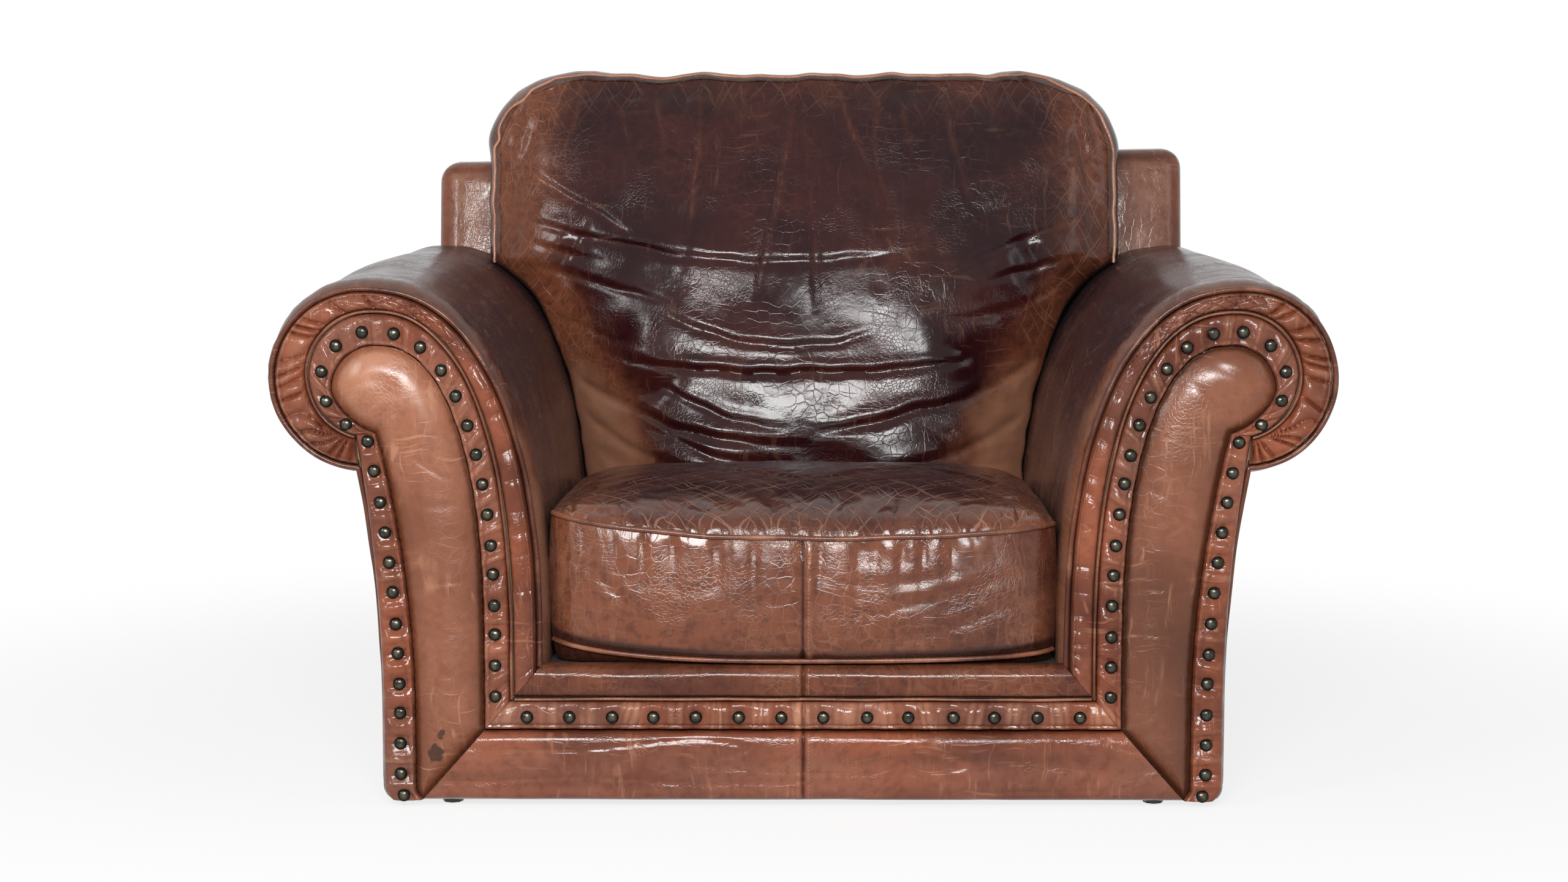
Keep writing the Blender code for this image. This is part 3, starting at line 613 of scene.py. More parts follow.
LEATHERS = {
    "dark": dict(tones="dark", roughness=0.15, croc=0.38, crackle=0.3, streaks=0.16, wrinkle=1, glaze=1.3),
    "seat": dict(tones="dark", roughness=0.165, croc=0.38, crackle=0.3, streaks=0.16, wrinkle=1, glaze=1.7),
    "roll": dict(tones="dark", roughness=0.24, croc=0.12, crackle=0.25, streaks=0.42, wrinkle=0.6, glaze=1.0),
    "brown": dict(tones="brown", roughness=0.15, croc=0.22, crackle=0.18, streaks=0.3, wrinkle=1, glaze=1.55),
    "tan": dict(tones="tan", roughness=0.235, croc=0.42, crackle=0.3, streaks=0.5, wrinkle=0.6, glaze=2.1),
    "welt": dict(tones="welt", roughness=0.2, croc=0.0, crackle=0.25, streaks=0.2, wrinkle=0.3, glaze=1.7),
}

PLAIN = {
    "beech": dict(colour=(0.50, 0.33, 0.19), roughness=0.55, scale=(60, 6, 60)),
    "spring_steel": dict(colour=(0.34, 0.34, 0.36), roughness=0.35, scale=(120, 120, 120), metallic=0.9),
    "webbing": dict(colour=(0.09, 0.085, 0.08), roughness=0.85, scale=(30, 900, 900), contrast=0.6),
    "deck_cloth": dict(colour=(0.022, 0.017, 0.015), roughness=0.95, scale=(900, 900, 900), contrast=0.6),
    "glide_plastic": dict(colour=(0.05, 0.042, 0.035), roughness=0.45, scale=(90, 90, 90)),
}


def old_grain(recipe, place):
    """The cracked tiles of an old grain, which come in patches, and the fine crackle between them."""
    patches = recipe.between(recipe.cloud(7.0, 3.0, recipe.stretched((1, 1, 1), (20, 0, 40))), 0.38, 0.60)
    tiles = recipe.times(recipe.edges(64.0, 0.55, place, 0.060), patches)
    fine = recipe.edges(210.0, 1.0, place, 0.10)
    return tiles, recipe.times(fine, recipe.between(recipe.cloud(14.0, 3.0), 0.45, 0.65))


def scratches(recipe, place):
    """Bundles of long pale strands in three directions."""
    bundles = []
    for scale, turn in (((14, 14, 190), (4, 9, 0)), ((170, 12, 15), (0, -14, 0)), ((60, 60, 9), (0, 31, 0))):
        strands = recipe.cloud(1.0, 3.0, recipe.stretched(scale, turn, place), 0.55)
        bundles.append(recipe.between(strands, 0.60, 0.70))
    return recipe.times(recipe.most(*bundles), recipe.between(recipe.cloud(11.0, 2.0), 0.44, 0.60))


def web_lines(recipe, place, flat):
    """The crossing lines of leather that was folded often, where a piece asks for them."""
    bent = recipe.warped(16.0, 0.030, place)
    web = recipe.most(recipe.crossing(0.036, place, flat), recipe.crossing(0.023, bent, flat))
    web = recipe.times(web, recipe.between(recipe.cloud(19.0, 3.0), 0.36, 0.58))
    return recipe.times(web, recipe.attribute("web"))


def leather(name, tones, roughness, croc, crackle, streaks, wrinkle, glaze):
    """Glazed leather: mottled, rubbed pale on edges and creases, with an old grain, fine crackle and streaks.

    The piece's wear goes from -1, soiled, over 0 to 1, rubbed; its tone from 0, dark, to 1, warm. On some
    pieces these also hold painted light: painted shade on the right arm panel, painted sheen on the inner
    sides of the rolls and painted highlight on the pillow's lower corners.
    """
    recipe = Recipe(f"leather_{name}")
    looks = bpy.context.scene.chair_looks
    deep, base, warm, worn = (rgba(getattr(looks, f"{tones}_{shade}")) for shade in SHADES)
    pale = rgba([1.25 * part + 0.02 for part in worn[:3]])
    dirt_and_shade = rgba([0.25 * part for part in deep[:3]])
    drifted = recipe.warped(9.0, 0.05)
    shifted = recipe.warped(70.0, 0.004, drifted)
    rub = recipe.cloud(17.0, 5.0, drifted, 0.62)
    wear = recipe.attribute("wear")
    mottle = recipe.minus(recipe.cloud(10.0, 5.0, drifted, 0.65), 0.5)
    tone = recipe.plus(recipe.attribute("tone"), recipe.times(mottle, 1.1))
    tiles, fine = old_grain(recipe, shifted)
    streak = scratches(recipe, drifted)
    web = web_lines(recipe, drifted, flat=name == "seat")

    ground = recipe.blend(recipe.between(recipe.cloud(6.5, 4.0, drifted), 0.36, 0.66), deep, base)
    colour = recipe.blend(recipe.between(tone, -0.05, 1.0), ground, warm)
    specks = recipe.between(recipe.cloud(90.0, 3.0, drifted), 0.42, 0.72, 0.0, 0.4)
    colour = recipe.blend(specks, colour, deep)
    # The rubbed blend is mostly wear; where a piece's wear holds painted sheen or highlight, it paints that
    # too.
    rubbed = recipe.between(recipe.plus(wear, recipe.times(recipe.minus(rub, 0.56), 1.3)), 0.05, 1.0)
    colour = recipe.blend(recipe.share(rubbed, looks.wear), colour, worn)
    dry = recipe.between(tone, 0.25, 0.9, 0.12, 1.0)
    colour = recipe.blend(recipe.times(recipe.times(tiles, dry), croc), colour, worn)
    colour = recipe.blend(recipe.times(recipe.times(fine, dry), crackle), colour, worn)
    colour = recipe.blend(recipe.times(streak, streaks), colour, worn)
    colour = recipe.blend(recipe.times(web, 0.80), colour, pale)
    # Below 0 the wear turns to the dirt colour: dirt in joints and seams, and painted shade on the right arm
    # panel.
    soil_and_shade = recipe.share(recipe.between(wear, -1.0, 0.0, 0.85, 0.0), 1.0)
    dullness = recipe.between(rub, 0.3, 0.75, roughness - 0.05, roughness + 0.09)
    recipe.finish_with(
        Base_Color=recipe.blend(soil_and_shade, colour, dirt_and_shade),
        Roughness=recipe.plus(dullness, recipe.times(recipe.plus(fine, tiles), 0.10)),
        Specular_IOR_Level=looks.gloss * glaze,
        Sheen_Weight=looks.bloom,
        Sheen_Roughness=0.45,
        Sheen_Tint=rgba((0.90, 0.84, 0.90)),
    )

    height = recipe.times(recipe.cloud(38.0, 4.0, shifted, 0.5), 0.40 * wrinkle)
    height = recipe.plus(height, recipe.times(recipe.cloud(420.0, 2.0), 0.030))
    for marks, depth in ((tiles, 0.07), (fine, 0.05), (streak, 0.05), (web, 0.25)):
        height = recipe.minus(height, recipe.times(marks, depth))
    recipe.bump(height, 0.0016)
    return recipe.material


def plain_finish(name, colour, roughness, scale, metallic=0.0, contrast=0.35):
    """Wood, steel, webbing and cloth: a colour with its streaks, and a little relief."""
    recipe = Recipe(name)
    streaks = recipe.cloud(1.0, 4.0, recipe.stretched(scale))
    dark = [part * (1 - contrast) for part in colour]
    recipe.finish_with(
        Base_Color=recipe.blend(streaks, rgba(dark), rgba(colour)),
        Roughness=recipe.between(streaks, 0.3, 0.7, roughness - 0.06, roughness + 0.06),
        Metallic=metallic,
    )
    recipe.bump(streaks, 0.0003)
    return recipe.material


def nail_finish():
    """Aged brass: green-black round the rim, rubbed to pewter and gold in the middle of the dome."""
    recipe = Recipe("aged_brass")
    rub = recipe.between(recipe.cloud(120.0, 3.0), 0.35, 0.60, 0.25, 1.0)
    dome = recipe.share(recipe.attribute("wear"), rub)
    recipe.finish_with(
        Base_Color=recipe.blend(dome, rgba((0.016, 0.019, 0.017)), rgba((0.125, 0.104, 0.072))),
        Roughness=recipe.between(rub, 0.0, 1.0, 0.16, 0.24),
        Metallic=0.9,
    )
    recipe.bump(recipe.cloud(900.0, 2.0), 0.0001)
    return recipe.material


FINISHES = {}


def finish(name):
    """Makes a finish once and gives it again when another piece asks for it."""
    if name not in FINISHES:
        if name in LEATHERS:
            FINISHES[name] = leather(name, **LEATHERS[name])
        elif name in PLAIN:
            FINISHES[name] = plain_finish(name, **PLAIN[name])
        else:
            FINISHES[name] = nail_finish()
    return FINISHES[name]


# The arms


# How deep and how wide the gathers of an arm's border are on the way along its runs
PLEAT_RUNS = (1.0, 1.1, 1.9, 2.2, 2.6, 3.0, 4.0)
PLEAT_STRENGTHS = (1.5, 1.0, 1.0, 0.75, 0.4, 0.3, 0.3)
PITCH_RUNS = (1.0, 1.9, 2.4, 4.0)
PITCHES = (0.0165, 0.0175, 0.026, 0.034)


def arm_border(side_name, side):
    """The gathered leather between the edge welt and the nail strip."""
    band = Band(BORDER.grown(INNER_SEAM), FACE.grown(-2 * SEAM_OFFSET), 1.0, 4.0)
    seed = 11.0 + 5 * side
    pleat = bpy.context.scene.chair_sizes.pleat_depth * 1.15
    crest = BORDER_RISE + 0.001
    crease_pitch = 0.026
    slant = 0.040
    hem = 0.88

    def place(share, across):
        distance = share * band.length
        run = band.run(distance)
        strength = float(np.interp(run, PLEAT_RUNS, PLEAT_STRENGTHS))
        pitch = float(np.interp(run, PITCH_RUNS, PITCHES))
        edge = edge_share(across)
        fan = distance / mix(mix(0.35, 1.0, across), 1.0, smooth(0.03, 0.10, distance))
        ridge = gathers(fan + 0.007 * across * drift(distance * 30, seed, 4), pitch, seed)
        second = gathers(distance + 0.02 * across, pitch * 1.7, seed + 3)
        top = smooth(1.75, 1.95, run) * smooth(2.55, 2.3, run)
        rising = gathers(distance + slant * across, crease_pitch, seed + 5)
        cross = min(rising, gathers(distance - slant * across, crease_pitch, seed + 6))
        reach = 0.75 + 0.35 * drift(distance * 24, seed)
        fade = smooth(0.0, 0.25, across) * 0.55 + 0.45 * reach

        rise = padding(across, INNER_WELT_EDGE, crest - 0.003 * across, BORDER_OUTER_EDGE, SOFT_PADDING)
        rise += pleat * strength * (ridge - 0.62) * fade * (1 - edge**6)
        rise += 0.0006 * strength * (second - 0.6) * (1 - edge**2)
        rise -= 0.0022 * top * bell(cross, 0.32) * (1 - edge**4)
        rise += 0.0012 * drift(distance * 22, across * 2, seed) * (1 - edge**2)
        rise += 0.0022 * bell(across - hem + 0.005, 0.045)

        worn = 0.02 + 0.34 * (ridge - 0.4) * strength * fade + 0.35 * bell(across - hem, 0.06)
        worn += 0.14 * smooth(2.3, 1.9, run)
        worn -= 0.8 * bell(across - 0.80, 0.035) + 0.7 * smooth(0.96, 1.0, edge)
        worn -= 0.3 * strength * smooth(0.35, 0.0, ridge) * fade + 0.35 * top * bell(cross, 0.25)
        tone = 0.05 + 0.25 * drift(distance * 5, 3.0, seed) + 0.2 * smooth(2.6, 3.2, run)
        return at(band.place(distance, across), BOARD_Y - rise, side), worn, tone

    front_band(f"border_{side_name}", 760, 16, place, "brown", f"arm_border_{side_name}")


def nail_line(side):
    """The band of an arm's nail strip and the distances of its nails along it."""
    band = Band(PANEL.grown(CLEARANCE), BORDER.grown(-INNER_SEAM), 0.0, 4.0)
    count = bpy.context.scene.chair_sizes.arm_nails - 2
    lowest = 0.0085
    first = 0.035
    last = band.length - 0.024
    distances = [lowest]
    for step in range(count + 1):
        nudge = 0.002 * drift(step * 0.9, 3.0 * side) if 0 < step < count else 0.0
        distances.append(mix(first, last, step / count) + nudge)
    return band, distances


def strip_rise(distance, across, distances, seed):
    """A padded strip that its nails pull in, puffed and wrinkled between them."""
    edge = edge_share(across)
    reach = min(abs(nail - distance) for nail in distances)
    pulled = bell(across - NAIL_SHARE, 0.40)
    wrinkle = gathers(distance + 0.010 * across * drift(distance * 18, seed), 0.0115, seed) - 0.6

    rise = padding(across, STRIP_INNER_EDGE, STRIP_RISE, INNER_WELT_EDGE, SOFT_PADDING)
    rise -= NAIL_SINK * bell(reach, 0.0115) * pulled
    rise += 0.0012 * smooth(0.008, 0.016, reach) * (1 - edge**4)
    rise += 0.0011 * wrinkle * (1 - edge**4)
    rise += 0.0010 * drift(distance * 30, across * 2, seed) * (1 - edge**2)
    rise += 0.0016 * bell(across - 0.09, 0.05) - 0.0016 * bell(across - 0.20, 0.045)

    worn = 0.07 + 0.35 * wrinkle + 0.2 * smooth(0.010, 0.018, reach) + 0.3 * bell(across - 0.10, 0.06)
    worn -= 0.7 * smooth(0.93, 1.0, edge) + 0.5 * bell(across - 0.19, 0.04)
    worn -= 0.35 * bell(reach, 0.009) * pulled
    return rise, worn


def arm_nail_strip(side_name, side):
    band, distances = nail_line(side)
    seed = 31.0 + 7 * side

    def place(share, across):
        distance = share * band.length
        rise, worn = strip_rise(distance, across, distances, seed)
        tone = 0.15 + 0.4 * drift(distance * 6, seed)
        return at(band.place(distance, across), BOARD_Y - rise, side), worn, tone

    front_band(f"nail_strip_{side_name}", 800, 14, place, "brown", f"arm_nail_strip_{side_name}")


def nail_head():
    """One domed nail head with a flat rim, facing -Y, its rim at y 0."""
    radius = bpy.context.scene.chair_sizes.nail_radius
    deselect()
    bpy.ops.mesh.primitive_uv_sphere_add(segments=14, ring_count=8, radius=1.0)
    made = bpy.context.object
    edit(made)
    bpy.ops.mesh.select_all(action="SELECT")
    bpy.ops.mesh.bisect(plane_co=(0, 0, 0), plane_no=(0, 0, 1), clear_inner=True, use_fill=True)
    leave_edit()
    wear = []
    for corner in made.data.vertices:
        across = corner.co.xy.length
        height = corner.co.z
        wear.append(smooth(0.80, 0.99, height))
        corner.co = Vector((corner.co.x, -0.62 * height**0.85 - 0.02, corner.co.y)) * radius
        if across < 0.01 and height < 0.01:
            corner.co.y = 0.0
    age(made, wear=wear)
    outward(made)
    return made


def drive_nails(name, seats):
    """Sets a nail head on each seat, leaning a little."""

    def head_place(count, seat):
        lean = Vector((0.10 * drift(count * 1.3, seat.z), 0, 0.10 * drift(count * 2.1, seat.x)))
        return lambda spot: seat + spot + Vector((0, spot.dot(lean), 0))

    made = copies(name, nail_head(), [head_place(count, seat) for count, seat in enumerate(seats)])
    finished(made, finish("nail"), angle=35)


def sew(name, cover, x, low, high):
    """Sews a row of thread stitches up the face of a cover, from one height to another."""
    pitch = 0.0046
    length = 0.62 * pitch
    radius = 0.00042
    depsgraph = bpy.context.evaluated_depsgraph_get()
    holes = []
    for height in np.arange(low, high, pitch):
        for z in (height, height + length):
            hit, spot, normal, face = cover.ray_cast((x, -1.0, z), (0, 1, 0), depsgraph=depsgraph)
            if hit:
                holes.append(spot - Vector((0, 0.5 * radius, 0)))

    def stitch_place(start, end):
        along = end - start
        turn = Vector((0, 0, 1)).rotation_difference(along.normalized()).to_matrix()
        size = Vector((radius, radius, along.length / 2))
        return lambda spot: turn @ (spot * size) + (start + end) / 2

    deselect()
    bpy.ops.mesh.primitive_uv_sphere_add(segments=6, ring_count=5, radius=1.0)
    pairs = zip(holes[:-1:2], holes[1::2])
    made = copies(name, bpy.context.object, [stitch_place(start, end) for start, end in pairs])
    age_welt(made, 1.0, 0.9)
    finished(made, finish("welt"))


def arm_nails(side_name, side):
    band, distances = nail_line(side)
    seats = [at(band.place(distance, NAIL_SHARE), NAIL_Y, side) for distance in distances]
    drive_nails(f"nails_{side_name}", seats)


def spot_stain(spot, x, z, radius):
    """How dark a stain with its middle at x and z is at a spot of the front."""
    return bell(spot.x - x, radius) * bell(spot.y - z, 1.2 * radius)


def arm_panel(side_name, side):
    """The smooth domed panel in the middle of an arm front."""
    line = PANEL.grown(-CLEARANCE)
    points = [line.point(run) for run in np.linspace(0.0, 4.0, 2401)]
    points.append(Vector((mitre_x(COVER_FOOT) - CLEARANCE, COVER_FOOT)))
    edge = Trail(points)
    outline = edge.spots(np.linspace(0, edge.length, 900))
    seed = 61.0 + 9 * side
    left, right = side < 0, side > 0
    dome_width = 0.046

    def place(across, up):
        share = 0.5 * up
        spot = edge.spot(share).lerp(edge.spot(1 - share), across)
        away = float(np.min(np.hypot(outline[:, 0] - spot.x, outline[:, 1] - spot.y)))
        away = min(away, spot.y - COVER_FOOT + 0.012)
        dome = 1 - (1 - min(1.0, away / dome_width)) ** 2.3
        rise = mix(PANEL_EDGE, PANEL_RISE, dome)
        rise += 0.0011 * drift(spot.x * 16, spot.y * 5, seed) * dome
        rise -= 0.0010 * bell(drift(spot.x * 9, spot.y * 16, seed + 2), 0.10) * dome

        worn = 0.05 + 0.36 * smooth(0.40, 0.52, spot.y) + 0.20 * drift(spot.x * 9, spot.y * 7, seed)
        # Less wear and a darker tone for the right panel (the right terms here and in the tone below) are
        # painted shade, for the weaker light on the chair's right.
        worn -= 0.30 * right + 0.12 * smooth(0.30, 0.10, spot.y)
        stain = max(spot_stain(spot, 0.432, 0.064, 0.010), spot_stain(spot, 0.424, 0.088, 0.005))
        worn -= 1.6 * smooth(0.25, 0.8, stain * (1 + 0.5 * drift(spot.x * 160, spot.y * 160))) * left
        worn -= 0.75 * (1 - smooth(0.001, 0.010, away))
        tone = 0.25 - 0.35 * right + 0.5 * smooth(0.25, 0.5, spot.y) - 0.3 * smooth(0.02, 0.006, away)
        tone += 0.2 * drift(spot.x * 6, spot.y * 5, seed + 4)
        return at(spot, BOARD_Y - rise, side), worn, tone

    front_band(f"panel_{side_name}", 44, 250, place, "tan", f"arm_panel_{side_name}")


def arm_welts(side_name, side):
    """The edge piping of an arm front and the piping between its border and nail strip."""
    edge_line = FACE.grown(-SEAM_OFFSET)
    for name, line, start, y, count, radius, tone in (
        ("edge_welt", edge_line, 0.0, BOARD_Y - SEAM_OFFSET - 0.002, 420, 0.95 * WELT_RADIUS, 0.05),
        ("inner_welt", BORDER, 1.0, BOARD_Y - EDGE_RISE - 0.001, 320, THIN_WELT, 0.35),
    ):
        band = Band(line, line, start, 4.0)
        points = []
        for step in range(count + 1):
            distance = band.length * step / count
            spot = band.place(distance, 0.5)
            spot += Vector((drift(distance * 16, side), drift(distance * 16, side + 5))) * 0.0008
            spot.y = max(spot.y, COVER_FOOT + WELT_RADIUS)
            points.append(at(spot, y + 0.0006 * drift(distance * 40, side), side))
        piping(f"{name}_{side_name}", points, radius, tone, 0.05, [f"arm_{name}_{side_name}"])


def arm_cover(side_name, side):
    """The soft leather of the roll, inside and outside of an arm."""
    seed = 81.0 + 3 * side
    middle = FACE.grown(0.0, ROLL_FOOT)
    band = Band(middle, middle, 0.0, 4.0)

    def place(share, back):
        distance = share * band.length
        run = band.run(distance)
        rear = back_plane(middle.point(run).y) - BACK_GAP
        y = mix(BOARD_Y, rear, back**1.35)
        away = y - BOARD_Y
        outside = 1 - smooth(0.6, 1.3, run)
        top = smooth(1.0, 1.4, run) * (1 - smooth(2.6, 3.2, run))

        swell = mix(-0.0045, 0.006, 1 - (1 - min(1.0, away / 0.042)) ** 2.2)
        swell += top * 0.0016 * drift(y * 5, distance * 3, seed)
        swell += top * 0.0016 * (gathers(distance, 0.021, seed, 0.6) - 0.6) * math.exp(-away / 0.05)
        swell += top * 0.0014 * drift(y * 3, distance * 26, seed + 4)
        swell -= 0.004 * (1 - top) * bell(y - 0.1, 0.2) * smooth(0.2, 0.9, run)
        swell += 0.0095 * bell(run - 1.95, 0.50) * smooth(0.03, 0.45, away)
        line = FACE.grown(min(swell, ROLL_LIMIT), ROLL_FOOT)

        worn = 0.30 * (1 - smooth(0.0, 0.06, away)) + 0.16 * drift(y * 5, distance * 5, seed + 6)
        # Paler, warmer leather towards the seat side, here and in the tone below: partly wear, partly painted
        # sheen and painted light on the inner side of the roll, which lies in shade.
        worn += 0.08 * (1 - smooth(0.9, 1.5, run)) + 0.42 * smooth(2.3, 2.9, run)
        worn -= 0.8 * (1 - smooth(0.0, 0.006, away))
        tone = 0.50 * (1 - smooth(0.0, 0.10, away)) + 0.90 * outside + 0.50 * smooth(2.4, 3.0, run)
        return at(line.point(run), y, side), worn, tone

    made = leather_sheet(f"arm_{side_name}", 170, 110, place)
    middle_of_arm = Vector((side * FOOT_X, 0, 0.3))
    faces = made.data.polygons
    if sum((face.center - middle_of_arm).dot(face.normal) * face.area for face in faces) < 0:
        turn_over(made)
    wall(made, ROLL_WALL)
    finished(made, finish("roll"), [f"arm_cover_{side_name}"])


def arm_back_panel(side_name, side):
    """The covered board that closes an arm behind."""
    line = FACE.grown(BACK_PANEL_OVERLAP)
    edge = Trail(line.point(run) for run in np.linspace(0.0, 4.0, 1201))

    def place(across, up):
        share = 0.5 * up
        spot = edge.spot(share).lerp(edge.spot(1 - share), across)
        spot.y = max(spot.y, COVER_FOOT + 0.003)
        lift = 0.0012 * (1 - edge_share(across) ** 6)
        worn = 0.2 * drift(spot.x * 8, spot.y * 8, side)
        return at(spot, back_plane(spot.y) - 0.0016 + lift, side), worn, 0.4

    made = leather_sheet(f"arm_back_{side_name}", 24, 90, place)
    if sum(face.normal.y * face.area for face in made.data.polygons) < 0:
        turn_over(made)
    wall(made, BACK_PANEL_WALL)
    finished(made, finish("brown"), [f"arm_back_panel_{side_name}"])


# The apron


APRON_COLUMNS = 420
MIDDLE_SEAM = 0.0006
MIDDLE_HEM = -0.0052


def apron_band(name, rows, low, high, rise, leather_name, node):
    """One band of the apron, mitred at its ends and sewn together in the middle."""

    def place(share, up):
        z = mix(low, high, up)
        x = (2 * share - 1) * (mitre_x(z) - CLEARANCE)
        edge = edge_share(up)
        depth, worn, tone = rise(x, up, z)
        depth -= 0.0045 * bell(x - MIDDLE_SEAM, 0.0026) * (1 - edge**8)
        depth += 0.0011 * bell(x - MIDDLE_HEM, 0.0034)
        worn += 0.5 * bell(x - MIDDLE_HEM, 0.004) - 0.8 * bell(x - MIDDLE_SEAM, 0.002)
        worn -= 0.7 * smooth(0.93, 1.0, edge)
        return Vector((x, BOARD_Y - depth, z)), worn, tone

    made = front_band(name, APRON_COLUMNS, rows, place, leather_name, node)
    sew(f"{name}_stitches", made, 0.0066, low + 0.004, high - 0.004)


def apron():
    strip_top = mitre_height(BORDER.seat_x)
    panel_top = mitre_height(PANEL.seat_x)
    strip_low = panel_top + CLEARANCE
    strip_high = strip_top - INNER_SEAM
    sizes = bpy.context.scene.chair_sizes
    nails = [(count - (sizes.apron_nails - 1) / 2) * sizes.apron_pitch for count in range(sizes.apron_nails)]
    nails = [x + 0.0022 * drift(x * 31) for x in nails]

    def panel_rise(x, up, z):
        fold = drift(x * 3, z * 46, 2.0)
        crease = bell(drift(x * 4, z * 34, 5.0), 0.08)
        depth = padding(up, APRON_EDGE, PANEL_RISE, STRIP_INNER_EDGE, FLAT_PADDING) - 0.0014 * crease
        depth += 0.0014 * fold * smooth(0.0, 0.2, up) + 0.0012 * drift(x * 10, z * 20, 7.0)
        return depth, 0.30 * fold + 0.30 * crease - 0.14, 0.45 - 0.3 * smooth(0.5, 1.0, up)

    def nail_strip_rise(x, up, z):
        depth, worn = strip_rise(x, up, nails, 17.0)
        return depth + 0.0008 * drift(x * 7, z * 90, 3.0), worn + 0.1, 0.45 + 0.4 * drift(x * 6, 4.0)

    def lip_rise(x, up, z):
        depth = padding(up, APRON_EDGE, BORDER_RISE + 0.001, 0.0, FLAT_PADDING)
        depth += 0.0012 * drift(x * 9, z * 30, 12.0) - 0.004 * smooth(0.6, 1.0, up)
        return max(0.0005, depth), 0.2 * drift(x * 7, z * 12, 9.0), 0.55 + 0.3 * drift(x * 5, z * 9, 6.0)

    for name, rows, low, high, rise, leather_name, node in (
        ("panel", 30, COVER_FOOT, panel_top - CLEARANCE, panel_rise, "brown", "apron_panel"),
        ("strip", 16, strip_low, strip_high, nail_strip_rise, "brown", "apron_nail_strip"),
        ("lip", 16, strip_top + INNER_SEAM, MITRE_TOP, lip_rise, "dark", "apron_lip"),
    ):
        apron_band(f"apron_{name}_cover", rows, low, high, rise, leather_name, node)
    middle = mix(strip_low, strip_high, NAIL_SHARE)
    drive_nails("nails_apron", [Vector((x, NAIL_Y, middle)) for x in nails])
    reach = mitre_x(strip_top) - WELT_RADIUS
    welt_y = BOARD_Y - EDGE_RISE - 0.002
    stations = np.linspace(-reach, reach, 241)
    points = [Vector((x, welt_y, strip_top + 0.0007 * drift(x * 14))) for x in stations]
    piping("apron_welt_cover", points, 0.52 * WELT_RADIUS, 0.50, 0.10, ["apron_welt"])


# Soft forms


def cut_box(name, cuts):
    """A cube of size 2 whose edges along X, Y and Z are cut into the given numbers of pieces."""
    deselect()
    bpy.ops.mesh.primitive_cube_add(size=2.0)
    made = named(bpy.context.object, name)
    for axis, count in enumerate(cuts):
        edit(made)
        bpy.ops.mesh.select_all(action="DESELECT")
        leave_edit()
        places = np.array([tuple(corner.co) for corner in made.data.vertices])
        for line in made.data.edges:
            run = abs(places[line.vertices[1]] - places[line.vertices[0]])
            line.select = bool(run[axis] > 1.9)
        edit(made)
        bpy.ops.mesh.subdivide(number_cuts=count - 1, smoothness=0)
        leave_edit()
    return made


def form(thing, place):
    """Moves each corner of a cut box to the place for its three shares from -1 to 1."""
    for corner in thing.data.vertices:
        corner.co = place(*corner.co)
    outward(thing)


def corner_places(thing):
    """The places of all corners, one row each."""
    places = np.empty(len(thing.data.vertices) * 3)
    thing.data.vertices.foreach_get("co", places)
    return places.reshape(-1, 3)


def corner_normals(thing):
    normals = np.empty(len(thing.data.vertices) * 3)
    thing.data.vertex_normals.foreach_get("vector", normals)
    return normals.reshape(-1, 3)


def move_corners(thing, places):
    thing.data.vertices.foreach_set("co", places.ravel())
    thing.data.update()


CLOTH = dict(
    quality=5,
    mass=0.35,
    tension_stiffness=22,
    compression_stiffness=22,
    shear_stiffness=10,
    bending_stiffness=1.5,
    use_pressure=True,
    shrink_min=-0.035,
    vertex_group_mass="held",
)
CLOTH_FRAMES = 16


def inflate(thing, pressure, cap, held):
    """Blows a cushion up as cloth and keeps what moved no further than the cap allows at each corner."""
    before = corner_places(thing)
    group = thing.vertex_groups.new(name="held")
    for corner in thing.data.vertices:
        group.add([corner.index], held(corner.co), "REPLACE")
    choose(thing)
    bpy.ops.object.modifier_add(type="CLOTH")
    cloth = thing.modifiers[-1]
    for setting, value in CLOTH.items():
        setattr(cloth.settings, setting, value)
    cloth.settings.uniform_pressure_force = pressure
    cloth.settings.effector_weights.gravity = 0.0
    cloth.collision_settings.use_collision = False
    cloth.point_cache.frame_start = 1
    cloth.point_cache.frame_end = CLOTH_FRAMES
    for step in range(1, CLOTH_FRAMES + 1):
        bpy.context.scene.frame_set(step)
    bpy.ops.object.modifier_apply(modifier=cloth.name)
    bpy.context.scene.frame_set(1)
    moved = corner_places(thing) - before
    reach = np.linalg.norm(moved, axis=1, keepdims=True)
    limit = np.array([[cap * (1 - held(Vector(spot)))] for spot in before])
    share = limit * np.tanh(reach / np.maximum(limit, 1e-6)) / np.maximum(reach, 1e-9)
    move_corners(thing, before + moved * share)
    thing.vertex_groups.clear()


def cushion(name, cuts, place, pressure, cap, held):
    """A cushion formed from a cut box, blown up as cloth, and subdivided once."""
    made = cut_box(name, cuts)
    form(made, place)
    inflate(made, pressure, cap, held)
    apply_modifier(made, "SUBSURF", levels=1, render_levels=1)
    return made


def rounded(points):
    """A line whose corners are cut three times, so that it runs smoothly."""
    points = np.array(points, dtype=float)
    for _ in range(3):
        starts, ends = points[:-1], points[1:]
        cut = np.stack([0.75 * starts + 0.25 * ends, 0.25 * starts + 0.75 * ends], axis=1).reshape(-1, 2)
        points = np.vstack([points[:1], cut, points[-1:]])
    return points


